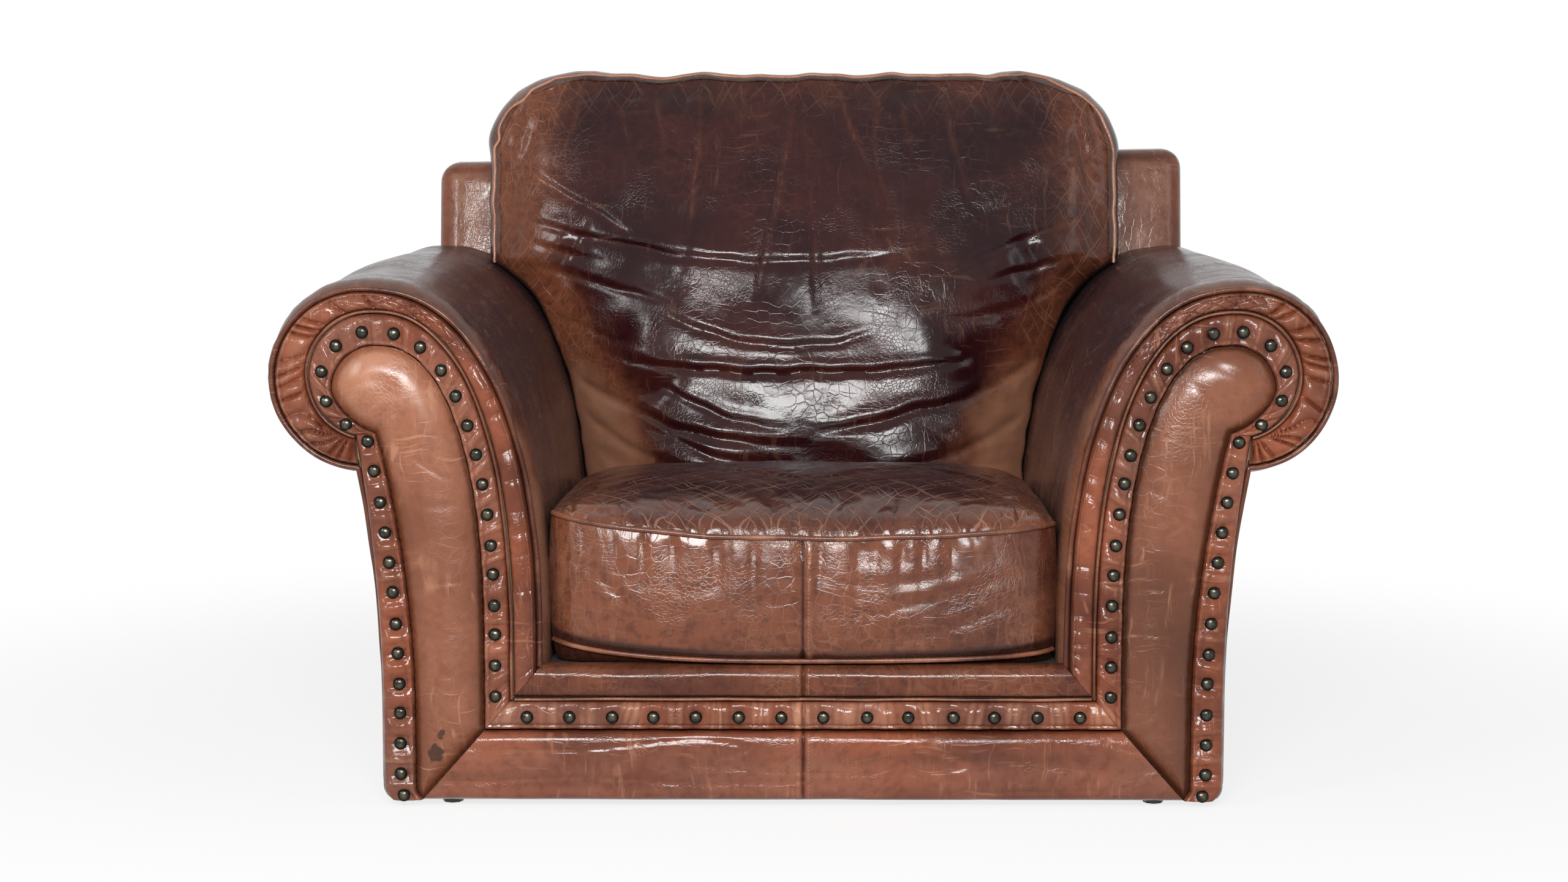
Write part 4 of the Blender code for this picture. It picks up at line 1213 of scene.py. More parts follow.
def along_line(spots, points):
    """How far each spot lies to the left of a line, and at which share of its length."""
    lengths = np.linalg.norm(np.diff(points, axis=0), axis=1)
    starts = np.concatenate([[0.0], np.cumsum(lengths)])
    nearest = np.full(len(spots), 1e9)
    signed = np.full(len(spots), 1e9)
    share = np.zeros(len(spots))
    for start, end, length, begun in zip(points[:-1], points[1:], lengths, starts):
        step = (end - start) / length
        gap = spots - start
        run = np.clip(gap @ step, 0.0, length)
        away = gap - run[:, None] * step
        reach = np.hypot(away[:, 0], away[:, 1])
        closer = reach < nearest
        side = np.where(step[0] * gap[:, 1] - step[1] * gap[:, 0] < 0, -1.0, 1.0)
        nearest = np.where(closer, reach, nearest)
        signed = np.where(closer, reach * side, signed)
        share = np.where(closer, (begun + run) / starts[-1], share)
    return signed, share


def sink(across, up, folds, wander):
    """How far folds sink each spot of a face, and how much they rub it.

    Left of a fold the leather rolls over it.
    """
    spots = np.stack([across, up], axis=1)
    depth = np.zeros(len(spots))
    rubbed = np.zeros(len(spots))
    for deep, width, rub, *points in folds:
        line = rounded(points)
        low, high = line.min(axis=0) - 5 * width, line.max(axis=0) + 5 * width
        near = np.nonzero(np.all((spots > low) & (spots < high), axis=1))[0]
        if not len(near):
            continue
        signed, share = along_line(spots[near], line)
        signed += [wander * drift(x * 24, z * 24, deep * 900) for x, z in spots[near]]
        taper = np.sin(np.pi * np.clip(share, 0.0, 1.0)) ** 0.6
        valley = np.exp(-((signed / width) ** 2))
        roll = np.exp(-(((signed - 2.1 * width) / (1.5 * width)) ** 2))
        depth[near] += deep * taper * (valley - 0.35 * roll)
        rubbed[near] += rub * taper * np.exp(-((signed / (0.6 * width + 0.001)) ** 2))
    return depth, rubbed


def bent(share, straight):
    """A share from -1 to 1 whose steps are smaller near its ends, the more so the less straight it is."""
    return (1 - straight) * math.sin(share * math.pi / 2) + straight * share


def pillow_half(z):
    """Half the pillow's width: it follows the shoulders of the arms, then stands above them."""
    shoulder = FACE.grown(0.006).seat_side_x(z - 0.008) - 0.0015
    return min(PILLOW_HALF, shoulder)


def seam_wave(distance, seed):
    """How far the pillow's welt wanders from its line."""
    return 0.0034 * drift(distance * 14, seed) + 0.0020 * drift(distance * 33, seed + 2)


# Each fold of the pillow's face: depth, width, how rubbed it is, and its line across and up
PILLOW_FOLDS = (
    (
        0.0085, 0.0060, 0.05,
        (-0.290, 0.494), (-0.219, 0.477), (-0.100, 0.464), (0.079, 0.466), (0.157, 0.472), (0.232, 0.484),
    ),
    (
        0.0095, 0.0075, 0.10,
        (-0.350, 0.478), (-0.261, 0.425), (-0.171, 0.388), (-0.080, 0.370), (0.010, 0.366),
    ),
    (0.0095, 0.0075, 0.10, (0.010, 0.382), (0.097, 0.399), (0.169, 0.417), (0.259, 0.441), (0.350, 0.492)),
    (0.0085, 0.0080, 0.10, (-0.340, 0.425), (-0.261, 0.375), (-0.190, 0.338), (-0.080, 0.318)),
    (0.0085, 0.0080, 0.10, (0.080, 0.325), (0.187, 0.348), (0.259, 0.378), (0.345, 0.422)),
    (0.0050, 0.0055, 0.05, (-0.195, 0.446), (-0.130, 0.415), (-0.070, 0.394), (-0.020, 0.392)),
    (0.0055, 0.0060, 0.10, (-0.240, 0.402), (-0.165, 0.372), (-0.110, 0.348), (-0.040, 0.342)),
    (0.0050, 0.0060, 0.05, (-0.205, 0.552), (-0.135, 0.519), (-0.070, 0.502), (0.040, 0.502), (0.095, 0.522)),
    (0.0050, 0.0075, 0.05, (-0.285, 0.646), (-0.159, 0.621), (-0.064, 0.613), (0.079, 0.618), (0.170, 0.632)),
    (0.0050, 0.0060, 0.35, (-0.395, 0.742), (-0.330, 0.705), (-0.280, 0.678), (-0.235, 0.650)),
    (0.0045, 0.0060, 0.35, (-0.400, 0.676), (-0.320, 0.654), (-0.240, 0.634), (-0.160, 0.622)),
    (0.0040, 0.0055, 0.35, (-0.395, 0.610), (-0.310, 0.592), (-0.235, 0.575), (-0.180, 0.555)),
    (0.0035, 0.0050, 0.30, (-0.400, 0.650), (-0.340, 0.628), (-0.270, 0.612)),
    (0.0035, 0.0050, 0.30, (-0.370, 0.540), (-0.310, 0.528), (-0.255, 0.505)),
    (0.0040, 0.0060, 0.30, (0.215, 0.610), (0.290, 0.640), (0.345, 0.664), (0.400, 0.672)),
    (0.0045, 0.0070, 0.25, (0.235, 0.672), (0.300, 0.700), (0.345, 0.735), (0.395, 0.770)),
    (0.0040, 0.0060, 0.25, (0.160, 0.538), (0.240, 0.540), (0.310, 0.556), (0.370, 0.585)),
    (0.0035, 0.0050, 0.25, (0.250, 0.590), (0.320, 0.606), (0.395, 0.622)),
    (
        0.0060, 0.0060, 0.70,
        (-0.064, 0.560), (-0.060, 0.590), (-0.046, 0.656), (-0.022, 0.760), (-0.016, 0.862),
    ),
    (0.0050, 0.0060, 0.50, (0.018, 0.545), (0.017, 0.590), (0.014, 0.656), (0.004, 0.750), (0.000, 0.830)),
    (0.0045, 0.0060, 0.60, (-0.168, 0.600), (-0.159, 0.656), (-0.145, 0.775), (-0.144, 0.862)),
    (0.0045, 0.0060, 0.65, (0.120, 0.680), (0.097, 0.745), (0.100, 0.800), (0.104, 0.862)),
    (0.0045, 0.0060, 0.60, (0.235, 0.680), (0.212, 0.750), (0.200, 0.800), (0.190, 0.862)),
    (0.0035, 0.0055, 0.50, (-0.228, 0.740), (-0.240, 0.780), (-0.262, 0.850)),
    (0.0035, 0.0055, 0.50, (-0.190, 0.750), (-0.200, 0.800), (-0.205, 0.855)),
    (0.0035, 0.0055, 0.55, (0.100, 0.722), (0.070, 0.780), (0.047, 0.856)),
    (0.0035, 0.0055, 0.50, (0.160, 0.735), (0.142, 0.790), (0.130, 0.852)),
    (0.0030, 0.0050, 0.45, (-0.095, 0.770), (-0.085, 0.810), (-0.082, 0.858)),
    (0.0030, 0.0050, 0.50, (0.275, 0.770), (0.262, 0.810), (0.262, 0.856)),
    (0.0030, 0.0050, 0.45, (-0.330, 0.770), (-0.318, 0.800), (-0.312, 0.850)),
)


def pillow_face_y(edge, a, up, bend):
    """How far forward the face of the pillow stands at shares across and up: fullest above its foot."""
    slope = min(1.0, (1 - up) / 0.66)
    swelling = min(1.0, up / 0.22) ** 0.7 * math.sin(slope * math.pi / 2)
    belly = PILLOW_CROWN * swelling * (1 - abs(bend) ** 4.5)
    return edge - belly - 0.012 * (1 - max(abs(a) ** 6, up**10))


def pillow_place(a, b, c):
    """A place on the pillow for shares across, through and up."""
    corner = PILLOW_CORNERS[a > 0]
    up = (c + 1) / 2
    up = 0.92 * up + 0.08 * math.sin(up * math.pi / 2)
    z = mix(PILLOW_FOOT, PILLOW_SEAM_TOP, up)
    over = max(0.0, z - (PILLOW_SEAM_TOP - corner))
    half = pillow_half(z) - 0.012 * smooth(0.50, 0.60, z) - 0.001
    half -= corner - math.sqrt(max(0.0, corner**2 - over**2)) * 0.999
    bend = bent(a, 0.65)
    x = half * bend
    rear = back_plane(z) - CLEARANCE
    edge = rear - PILLOW_EDGE
    if b < -0.999:
        y = pillow_face_y(edge, a, up, bend)
    else:
        through = (b + 1) / 2
        y = mix(edge, rear, through)
        bulge = 0.019 * math.sin(math.pi * min(1.0, through * 1.15 + 0.05)) ** 0.7 * smooth(0.52, 0.62, z)
        if through > 0.98:
            bulge = -0.02
        turn = min(1.0, over / corner) * math.pi / 2
        side = abs(a) ** 8
        bulge *= 1 + 0.45 * math.sin(2 * turn) * side
        x += math.copysign(bulge * side * math.cos(turn), a)
        z += bulge * (0.50 * up**16 + 0.35 * side * math.sin(turn))
    fore = 1 - max(0.0, b)
    x += math.copysign(seam_wave(z, 5.0 if x > 0 else 9.0) * abs(a) ** 6 * fore, a)
    z += seam_wave(x, 2.0) * up**10 * fore
    return Vector((x, y, min(z, PILLOW_TOP + 0.008)))


def pillow_held(spot):
    """How firmly the sewn edges and the rear of the pillow hold while it is blown up."""
    across = (abs(spot.x) + 0.012) / pillow_half(spot.z)
    rear = smooth(-0.10, -0.04, spot.y - back_plane(spot.z))
    return max(rear, smooth(0.90, 1.0, across), smooth(0.83, 0.86, spot.z), smooth(0.24, 0.18, spot.z))


def pillow_marks(x, z, across, edge_gap):
    """How far a spot of the pillow's face is puckered, and its wear, tone and web of lines. Wear and tone on
    the lower corners also hold painted highlight and painted light.
    """
    margin = smooth(0.70, 0.93, across)
    top_gap = PILLOW_TOP - z
    top = bell(top_gap, 0.05)
    # The lower corners (low) are paler and warmer, in the wear and tone below: partly worn tan leather,
    # partly painted highlight and painted light against the shade between arm and pillow.
    low = smooth(0.50, 0.34, z - 0.10 * (across - 0.6)) * smooth(0.52, 0.90, across)
    # The left margin is made paler and warmer than the right.
    rubbed, warmed = (0.20, 0.90) if x < 0 else (0.06, 0.50)

    pucker = 0.0026 * (gathers(z, 0.030, 4.0, 0.8) - 0.6) * bell(edge_gap, 0.045)
    pucker += 0.0030 * (gathers(x, 0.036, 6.0, 0.8) - 0.6) * top
    pucker += 0.0034 * drift(x * 6, z * 8, 3.0) + 0.0011 * drift(x * 15, z * 19, 8.0)
    wear = rubbed * margin + 0.10 * drift(x * 8, z * 8, 5.0) - 0.12
    wear += 1.7 * low * (0.75 + 0.45 * drift(x * 11, z * 13, 6.0)) - 0.5 * bell(edge_gap, 0.008)
    tone = warmed * margin + 0.85 * low + 0.22 * top + 0.02
    web = 0.32 * margin * smooth(0.40, 0.55, z) + 0.20 * top
    return pucker, wear, tone, web


def wrinkle_pillow(thing):
    """Sinks the folds and creases into the face of the pillow, puckers its edges and stores its wear."""
    places = corner_places(thing)
    front = np.clip((-corner_normals(thing)[:, 1] - 0.35) / 0.4, 0.0, 1.0)
    x, _, z = places.T
    halves = np.array([pillow_half(height) for height in z])
    across = abs(x) / halves
    rim = np.clip((across - 0.90) / 0.07, 0.0, 1.0) ** 2
    rim = np.maximum(rim, np.clip((z - 0.845) / 0.02, 0.0, 1.0))
    folds = [(FOLD_DEPTH * deep, FOLD_WIDTH * width, *rest) for deep, width, *rest in PILLOW_FOLDS]
    depth, rubbed = sink(x, z, folds, 0.0025)
    marks = [pillow_marks(*spot) for spot in zip(x, z, across, (1 - across) * halves)]
    pucker, wear, tone, web = np.array(marks).T
    places[:, 1] += (depth + pucker) * front * (1 - rim)
    move_corners(thing, places)
    wear += 0.50 * rubbed * front - 0.35 * (1 - front)
    age(thing, wear=wear, tone=tone + 0.40 * rubbed, web=web)


def pillow_seam(a, c):
    """The line on which the pillow's front is sewn to its boxing, with a kink near its left corner."""
    spot = pillow_place(a, -0.99, c)
    top = c > 0.99
    kink = bell(spot.x + 0.395, 0.012) * bell(spot.z - 0.845, 0.02) + bell(spot.z - 0.784, 0.010) * (a < -0.9)
    across = 0.0022 * a * (1 - 0.5 * top) + 0.006 * kink
    return spot + Vector((across, 0.0, 0.0022 * top - 0.003 * kink))


def back_pillow():
    made = cushion("pillow", (118, 6, 86), pillow_place, 4.0, 0.010, pillow_held)
    wrinkle_pillow(made)
    foot = 0.24
    side_share = 0.3
    welt = []
    for share in np.linspace(0.0, 1.0, 261):
        along_top = min(1.0, max(0.0, (share - side_share) / (1 - 2 * side_share)))
        up = min(1.0, share / side_share, (1 - share) / side_share)
        welt.append(pillow_seam(mix(-1.0, 1.0, along_top), mix(foot, 1.0, up)))
    piping("pillow_welt", welt, 0.66 * WELT_RADIUS, 1.0, 0.62, ["back_cushion_welt"])
    finished(made, finish("dark"), ["back_cushion"])


def cushion_front(share):
    """The front line of the seat cushion, which turns back at its corners."""
    return CUSHION_FRONT + 0.005 + 0.012 * share**2 + 0.030 * abs(share) ** 12


def seat_seam(x, run):
    """The height of the seat cushion's upper seam: it sags in the middle of the front."""
    share = abs(x) / CUSHION_HALF
    ends = 0.027 * share**2.2 if x < 0 else 0.013 * share**2
    return CUSHION_SEAM - 0.002 + ends * bell(run, 0.7) + 0.0016 * drift(x * 13, 1.0) * bell(run, 0.2)


def seat_foot(x):
    """The height of the seat cushion's lower seam."""
    share = abs(x) / CUSHION_HALF
    return CUSHION_FOOT_SEAM - 0.009 + (0.021 if x < 0 else 0.009) * share**3


# Each fold of the seat cushion's top: depth, width, how rubbed it is, and its line across and back
SEAT_FOLDS = (
    (0.0040, 0.0080, 0.5, (-0.262, -0.40), (-0.200, -0.30), (-0.110, -0.22)),
    (0.0040, 0.0080, 0.5, (-0.110, -0.22), (-0.050, -0.27), (0.020, -0.31)),
    (0.0035, 0.0080, 0.5, (-0.110, -0.22), (-0.080, -0.14), (-0.060, -0.06)),
    (0.0045, 0.0080, 0.5, (0.020, -0.31), (0.080, -0.24), (0.150, -0.20)),
    (0.0040, 0.0080, 0.5, (0.020, -0.31), (0.010, -0.38), (0.005, -0.45)),
    (0.0040, 0.0080, 0.5, (0.150, -0.20), (0.200, -0.26), (0.262, -0.35)),
    (0.0035, 0.0080, 0.4, (0.150, -0.20), (0.170, -0.11), (0.180, -0.03)),
)
# Each fold of the seat cushion's front: depth, width, how rubbed it is, and its line across and up
BOXING_FOLDS = (
    (0.0030, 0.0055, 0.10, (0.010, 0.178), (0.090, 0.196), (0.180, 0.215), (0.300, 0.262)),
    (0.0018, 0.0050, 0.10, (0.060, 0.230), (0.140, 0.246), (0.230, 0.272), (0.295, 0.292)),
    (0.0012, 0.0050, 0.15, (0.030, 0.262), (0.110, 0.268), (0.190, 0.280)),
    (0.0016, 0.0060, 0.15, (-0.240, 0.215), (-0.150, 0.196), (-0.060, 0.184)),
    (0.0016, 0.0050, 0.20, (-0.290, 0.300), (-0.230, 0.270), (-0.180, 0.222)),
)


def cushion_place(a, b, c):
    """A place on the seat cushion for shares across, from front to back and up."""
    bend = bent(a, 0.7)
    x = CUSHION_HALF * bend
    run = (b + 1) / 2
    up = (c + 1) / 2
    y = mix(cushion_front(a), CUSHION_BACK, run)
    seam = seat_seam(x, run)
    low = seat_foot(x)
    if c > 0.999:
        lift = math.sin(math.pi * min(1.0, run**0.75 + 0.01)) ** 0.5 if run < 0.9 else (1 - run) * 5.0
        top = CUSHION_SEAM + CUSHION_CROWN - 0.012 * abs(bend) ** 2.5
        return Vector((x, y, seam + (top - seam) * min(1.0, lift) * (1 - abs(bend) ** 8) ** 0.5))
    z = mix(low, seam, up)
    if b < -0.999:
        crown = math.sin(math.pi * up / 0.5) ** 0.5 if up < 0.25 else 1 - (1 - (1 - up) / 0.75) ** 1.6
        y = max(y - BOXING_BULGE * crown * (1 - abs(a) ** 10), FRONT + 2 * CLEARANCE)
    elif abs(a) > 0.999:
        x += math.copysign(0.004 * math.sin(math.pi * up), a)
    if c < -0.999:
        z = low if max(abs(a), abs(b)) > 0.999 else CUSHION_FOOT
    return Vector((x, y, z))


def cushion_held(spot):
    """How firmly the seams, the foot and the sides of the seat cushion hold while it is blown up."""
    edge = max(smooth(-0.435, -0.462, spot.y), smooth(0.27, 0.295, abs(spot.x)))
    return max(edge, smooth(0.325, 0.318, spot.z), smooth(0.0, 0.08, spot.y))


def lattice(x, y, pitch, seed):
    """Two crossing families of wandering lines: 1 on a line, 0 between them."""
    found = 0.0
    for slant in (-0.85, 0.85):
        phase = (x + slant * y) / pitch + 0.55 * drift(x * 9, y * 7, seed + slant)
        away = abs(phase - math.floor(phase) - 0.5) * pitch
        present = smooth(-0.35, 0.25, drift(x * 6, y * 6, seed + 3 * slant))
        found = max(found, bell(away, 0.0055) * present)
    return found


def seat_top_marks(x, y, ahead, above, sunk, rubbed):
    """How far a spot of the seat's top sinks in, and its wear, tone and web of lines."""
    side = abs(x) / CUSHION_HALF
    lines = lattice(x, y, 0.060, 4.0) * smooth(0.015, 0.05, ahead)
    gather = gathers(x, 0.022, 8.0, 0.8)
    brow = bell(ahead - 0.012, 0.022)
    bumps = 0.0016 * drift(x * 7, y * 6, 4.0) + 0.0006 * drift(x * 22, y * 18, 6.0)
    into = 0.5 * sunk + 0.0008 * lines - 0.0048 * (gather - 0.55) * brow - bumps
    wear = 0.30 * lines + 0.50 * brow * (gather - 0.3) - 0.08 + 0.4 * rubbed
    tone = 0.10 + 0.55 * smooth(0.62, 0.95, side) + 0.30 * bell(ahead, 0.07) + 0.10 * lines
    web = 0.32 + 0.28 * bell(ahead - 0.07, 0.10) + 0.2 * side
    return smooth(0.0005, 0.006, above) * into, wear, tone, web


def boxing_marks(x, z, below, front, folded, creased):
    """How far a spot of the seat's boxing sinks in, and its wear, tone and web of lines."""
    side = abs(x) / CUSHION_HALF
    level = min(1.0, max(0.0, below / 0.138))
    reach = 0.040 + 0.045 * abs(drift(x * 11, 7.0))
    swayed = x + 0.10 * below * drift(x * 6, 2.0)
    gather = (gathers(swayed, 0.048, 3.0, 1.1) - 0.6) * bell(below, reach)
    gather += 0.25 * (gathers(x - 0.2 * below, 0.019, 12.0, 0.9) - 0.6) * bell(below, 0.024)
    gather *= smooth(0.001, 0.010, below) * (1 - smooth(0.86, 0.98, side))
    ripple = drift(x * 12, z * 60, 9.0) * smooth(0.2, 0.5, level) * (1 - level**6)
    seam_lift = (bell(x - 0.0070, 0.0040) - 1.5 * bell(x, 0.0030)) * min(1.0, 8 * level)
    into = (folded - 0.0040 * gather - 0.0008 * ripple - 0.0020 * seam_lift) * front
    wear = 0.06 + 0.22 * gather + 0.12 * drift(x * 9, z * 12, 2.0) + creased
    wear += (0.40 * bell(x - 0.0075, 0.004) - 0.80 * bell(x, 0.0025)) * front
    wear -= 0.5 * bell(below, 0.004) + 0.9 * smooth(0.94, 1.0, level)
    tone = 0.88 - 0.34 * smooth(0.1, 0.8, x / CUSHION_HALF) - 0.10 * bell(x + 0.05, 0.14)
    return into, wear, tone, 0.22 * smooth(0.55, 0.95, side)


def wrinkle_cushion(thing):
    """Creases the top of the seat cushion, gathers its front below the seam and stores its wear."""
    places = corner_places(thing)
    normals = corner_normals(thing)
    front = np.clip((-normals[:, 1] - 0.3) / 0.4, 0.0, 1.0)
    x, y, z = places.T
    sunk = np.stack(sink(x, y, SEAT_FOLDS, 0.004), axis=1)
    folded = np.stack(sink(x, z, BOXING_FOLDS, 0.002), axis=1)
    marks = []
    for number, (px, py, pz) in enumerate(places):
        ahead = py - cushion_front(px / CUSHION_HALF)
        above = pz - seat_seam(px, ahead / (CUSHION_BACK - CUSHION_FRONT))
        below = seat_seam(px, 0.0) - pz
        if above > 0.0005:
            marks.append(seat_top_marks(px, py, ahead, above, *sunk[number]))
        else:
            marks.append(boxing_marks(px, pz, below, front[number], *folded[number]))
    into, wear, tone, web = np.array(marks).T
    places -= normals * into[:, None]
    places[:, 1] = np.maximum(places[:, 1], FRONT + CLEARANCE)
    move_corners(thing, places)
    age(thing, wear=wear, tone=tone, web=web)


def seat_cushion():
    made = cushion("seat_pad", (84, 74, 13), cushion_place, 3.0, 0.006, cushion_held)
    wrinkle_cushion(made)
    for name, height, radius, tone, node in (
        ("seat_piping_top", lambda x: seat_seam(x, 0.0), 0.90 * WELT_RADIUS, 0.25, "seat_welt_top"),
        ("seat_piping_foot", seat_foot, 0.85 * WELT_RADIUS, 0.35, "seat_welt_bottom"),
    ):
        points = []
        for share in np.linspace(-0.985, 0.985, 201):
            x = CUSHION_HALF * bent(share, 0.7)
            points.append(Vector((x, cushion_front(share) - 0.0025, height(x))))
        piping(name, points, radius, tone, 0.10, [node])
    finished(made, finish("seat"), ["seat_cushion"])
    sew("boxing_stitches", made, 0.0062, CUSHION_FOOT_SEAM + 0.002, CUSHION_SEAM - 0.008)


def back_place(a, b, c):
    """A place on the case of the back: a raked box with rounded edges, whose foot is square."""
    half = Vector((BACK_HALF, BACK_THICKNESS / 2, (BACK_TOP - COVER_FOOT) / 2))
    rounding = WING_ROUNDING if b < 0 else REAR_ROUNDING
    spot = Vector((a, b, c)) * half
    core = [size - rounding for size in half]
    lowest = (-core[0], -core[1], -half.z)
    inner = Vector([min(high, max(low, value)) for low, value, high in zip(lowest, spot, core)])
    out = spot - inner
    if out.length > 0:
        spot = inner + out.normalized() * max(abs(out.x), abs(out.y), abs(out.z))
    z = spot.z + half.z + COVER_FOOT
    x = spot.x + BACK_SHIFT
    return Vector((x, spot.y + half.y + back_plane(z), z + back_lean(x, z)))


def wrinkle_back(thing):
    """Pads the wings, puckers their edges and stores the wear of the back's case."""
    places = corner_places(thing)
    wear = []
    tone = []
    for place, normal in zip(places, corner_normals(thing)):
        x, _, z = place
        front = smooth(0.2, 0.8, -normal[1])
        rear = smooth(0.2, 0.8, normal[1])
        edge = min(BACK_HALF - abs(x - BACK_SHIFT), BACK_TOP + BACK_TILT * x - z)
        puckers = 0.0014 * (gathers(x + z, 0.019, 7.0, 0.8) - 0.6) * bell(edge - 0.016, 0.014)
        puckers *= 1.4 if x > 0 else 0.5
        seam = 0.0022 * bell(edge - WING_SEAM, 0.0024)
        place[1] -= front * (puckers - seam + 0.0014 * drift(x * 9, z * 9, 4.0))
        place[1] += rear * (0.0030 * smooth(0.0, 0.12, min(edge, z)) + 0.0016 * drift(x * 5, z * 4, 9.0))
        # The left wing is made paler than the right.
        rubbed = mix(0.24, 0.52, smooth(0.3, -0.3, x)) - 0.55 * bell(edge - WING_SEAM, 0.003)
        scuffed = 0.25 * drift(x * 4, z * 4, 6.0) + 0.4 * bell(z - COVER_FOOT, 0.10)
        edges = 0.35 * bell(edge, 0.012) * (1 - front)
        wear.append(rubbed * front + scuffed * rear + edges + 0.2 * drift(x * 5, z * 5, 3.0))
        tone.append(0.85 * front * smooth(0.014, 0.020, edge) + 0.35)
    move_corners(thing, places)
    age(thing, wear=wear, tone=tone)


def back_case():
    made = cut_box("back_case", (150, 22, 110))
    form(made, back_place)
    wrinkle_back(made)
    finished(made, finish("brown"), ["back_cover"])


def back_piping():
    """The piping round the rear panel of the back, open at its foot."""
    reach = BACK_HALF - REAR_PIPING_INSET
    turn = REAR_PIPING_TURN
    middle_z = BACK_TOP - REAR_PIPING_INSET - turn
    foot = COVER_FOOT + 0.006
    points = [(-reach, foot)]
    for middle_x, start in ((turn - reach, 180), (reach - turn, 90)):
        for step in range(7):
            angle = math.radians(start - 15 * step)
            points.append((middle_x + turn * math.cos(angle), middle_z + turn * math.sin(angle)))
    line = Trail([*points, (reach, foot)])
    route = []
    distances = np.linspace(0.0, line.length, 320)
    for distance, (x, z) in zip(distances, line.spots(distances)):
        x += BACK_SHIFT + 0.0009 * drift(distance * 12, 4.0)
        z += back_lean(x, z)
        route.append(Vector((x, back_plane(z) + BACK_THICKNESS + 0.0022, z)))
    piping("back_piping", route, WELT_RADIUS, 0.3, 0.2)


# Operators, in the order in which the chair is dressed


def size_property(name, description, default, **options):
    return bpy.props.FloatProperty(name=name, description=description, default=default, **options)


def share_property(name, description, default):
    return size_property(name, description, default, subtype="FACTOR")


def count_property(name, description, default):
    return bpy.props.IntProperty(name=name, description=description, default=default)


def colour_property(name, description, default):
    return bpy.props.FloatVectorProperty(
        name=name, description=description, default=default, subtype="COLOR", size=3, min=0.0, max=1.0
    )


class ChairSizes(bpy.types.PropertyGroup):
    nail_radius: size_property("Nail Radius", "Radius of a nail head", 0.0077, unit="LENGTH")
    arm_nails: count_property("Arm Nails", "Nails on each arm front", 32)
    apron_nails: count_property("Apron Nails", "Nails across the apron", 14)
    apron_pitch: size_property("Apron Pitch", "Distance between apron nails", 0.050, unit="LENGTH")
    pleat_depth: size_property("Pleat Depth", "Depth of the gathers round a scroll", 0.0074, unit="LENGTH")
    camera_place: bpy.props.FloatVectorProperty(
        name="Camera Place",
        description="Where the camera stands",
        default=(0.005, -3.885, 0.790),
        subtype="XYZ",
    )
    camera_turn: size_property(
        "Camera Turn", "How far the camera turns left", math.radians(0.456), subtype="ANGLE"
    )
    camera_pitch: size_property(
        "Camera Pitch", "How far the camera looks down", math.radians(5.965), subtype="ANGLE"
    )
    camera_lens: size_property("Lens", "Focal length in millimetres", 67.6)
    key_power: size_property("Key Power", "Power of the large lamp above the camera", 104.0, subtype="POWER")
    fill_power: size_property(
        "Fill Power", "Power of the right lamp; the left has more", 8.5, subtype="POWER"
    )
    sky: size_property("Sky", "Strength of the white room's light", 0.25)


class ChairLooks(bpy.types.PropertyGroup):
    wear: share_property("Wear", "How much worn leather shows", 0.85)
    gloss: share_property("Gloss", "Strength of the glaze", 0.175)
    bloom: share_property("Bloom", "Dusty sheen seen at a slant", 0.010)
    dark_deep: colour_property("Dark, Deep", "Darkest tone of the cushions and rolls", (0.014, 0.002, 0.0035))
    dark_base: colour_property("Dark", "Main tone of the cushions and rolls", (0.035, 0.0065, 0.0065))
    dark_warm: colour_property("Dark, Warm", "Redder tone of the cushions and rolls", (0.150, 0.047, 0.022))
    dark_worn: colour_property("Dark, Worn", "Rubbed tone of the cushions and rolls", (0.240, 0.112, 0.068))
    brown_deep: colour_property("Brown, Deep", "Darkest tone of borders and strips", (0.085, 0.020, 0.009))
    brown_base: colour_property("Brown", "Main tone of borders and strips", (0.232, 0.064, 0.029))
    brown_warm: colour_property("Brown, Warm", "Dustier tone of borders and strips", (0.196, 0.084, 0.056))
    brown_worn: colour_property("Brown, Worn", "Rubbed tone of borders and strips", (0.400, 0.190, 0.110))
    tan_deep: colour_property("Tan, Deep", "Darkest tone of the panels", (0.120, 0.036, 0.015))
    tan_base: colour_property("Tan", "Main tone of the panels", (0.190, 0.064, 0.032))
    tan_warm: colour_property("Tan, Warm", "Redder tone of the panels", (0.250, 0.092, 0.048))
    tan_worn: colour_property("Tan, Worn", "Rubbed tone of the panels", (0.420, 0.200, 0.120))
    welt_deep: colour_property("Welt, Deep", "Darkest tone of the piping", (0.050, 0.014, 0.008))
    welt_base: colour_property("Welt", "Main tone of the piping", (0.110, 0.032, 0.015))
    welt_warm: colour_property("Welt, Warm", "Paler tone of the piping", (0.270, 0.098, 0.050))
    welt_worn: colour_property("Welt, Worn", "Rubbed tone of the piping", (0.430, 0.200, 0.125))


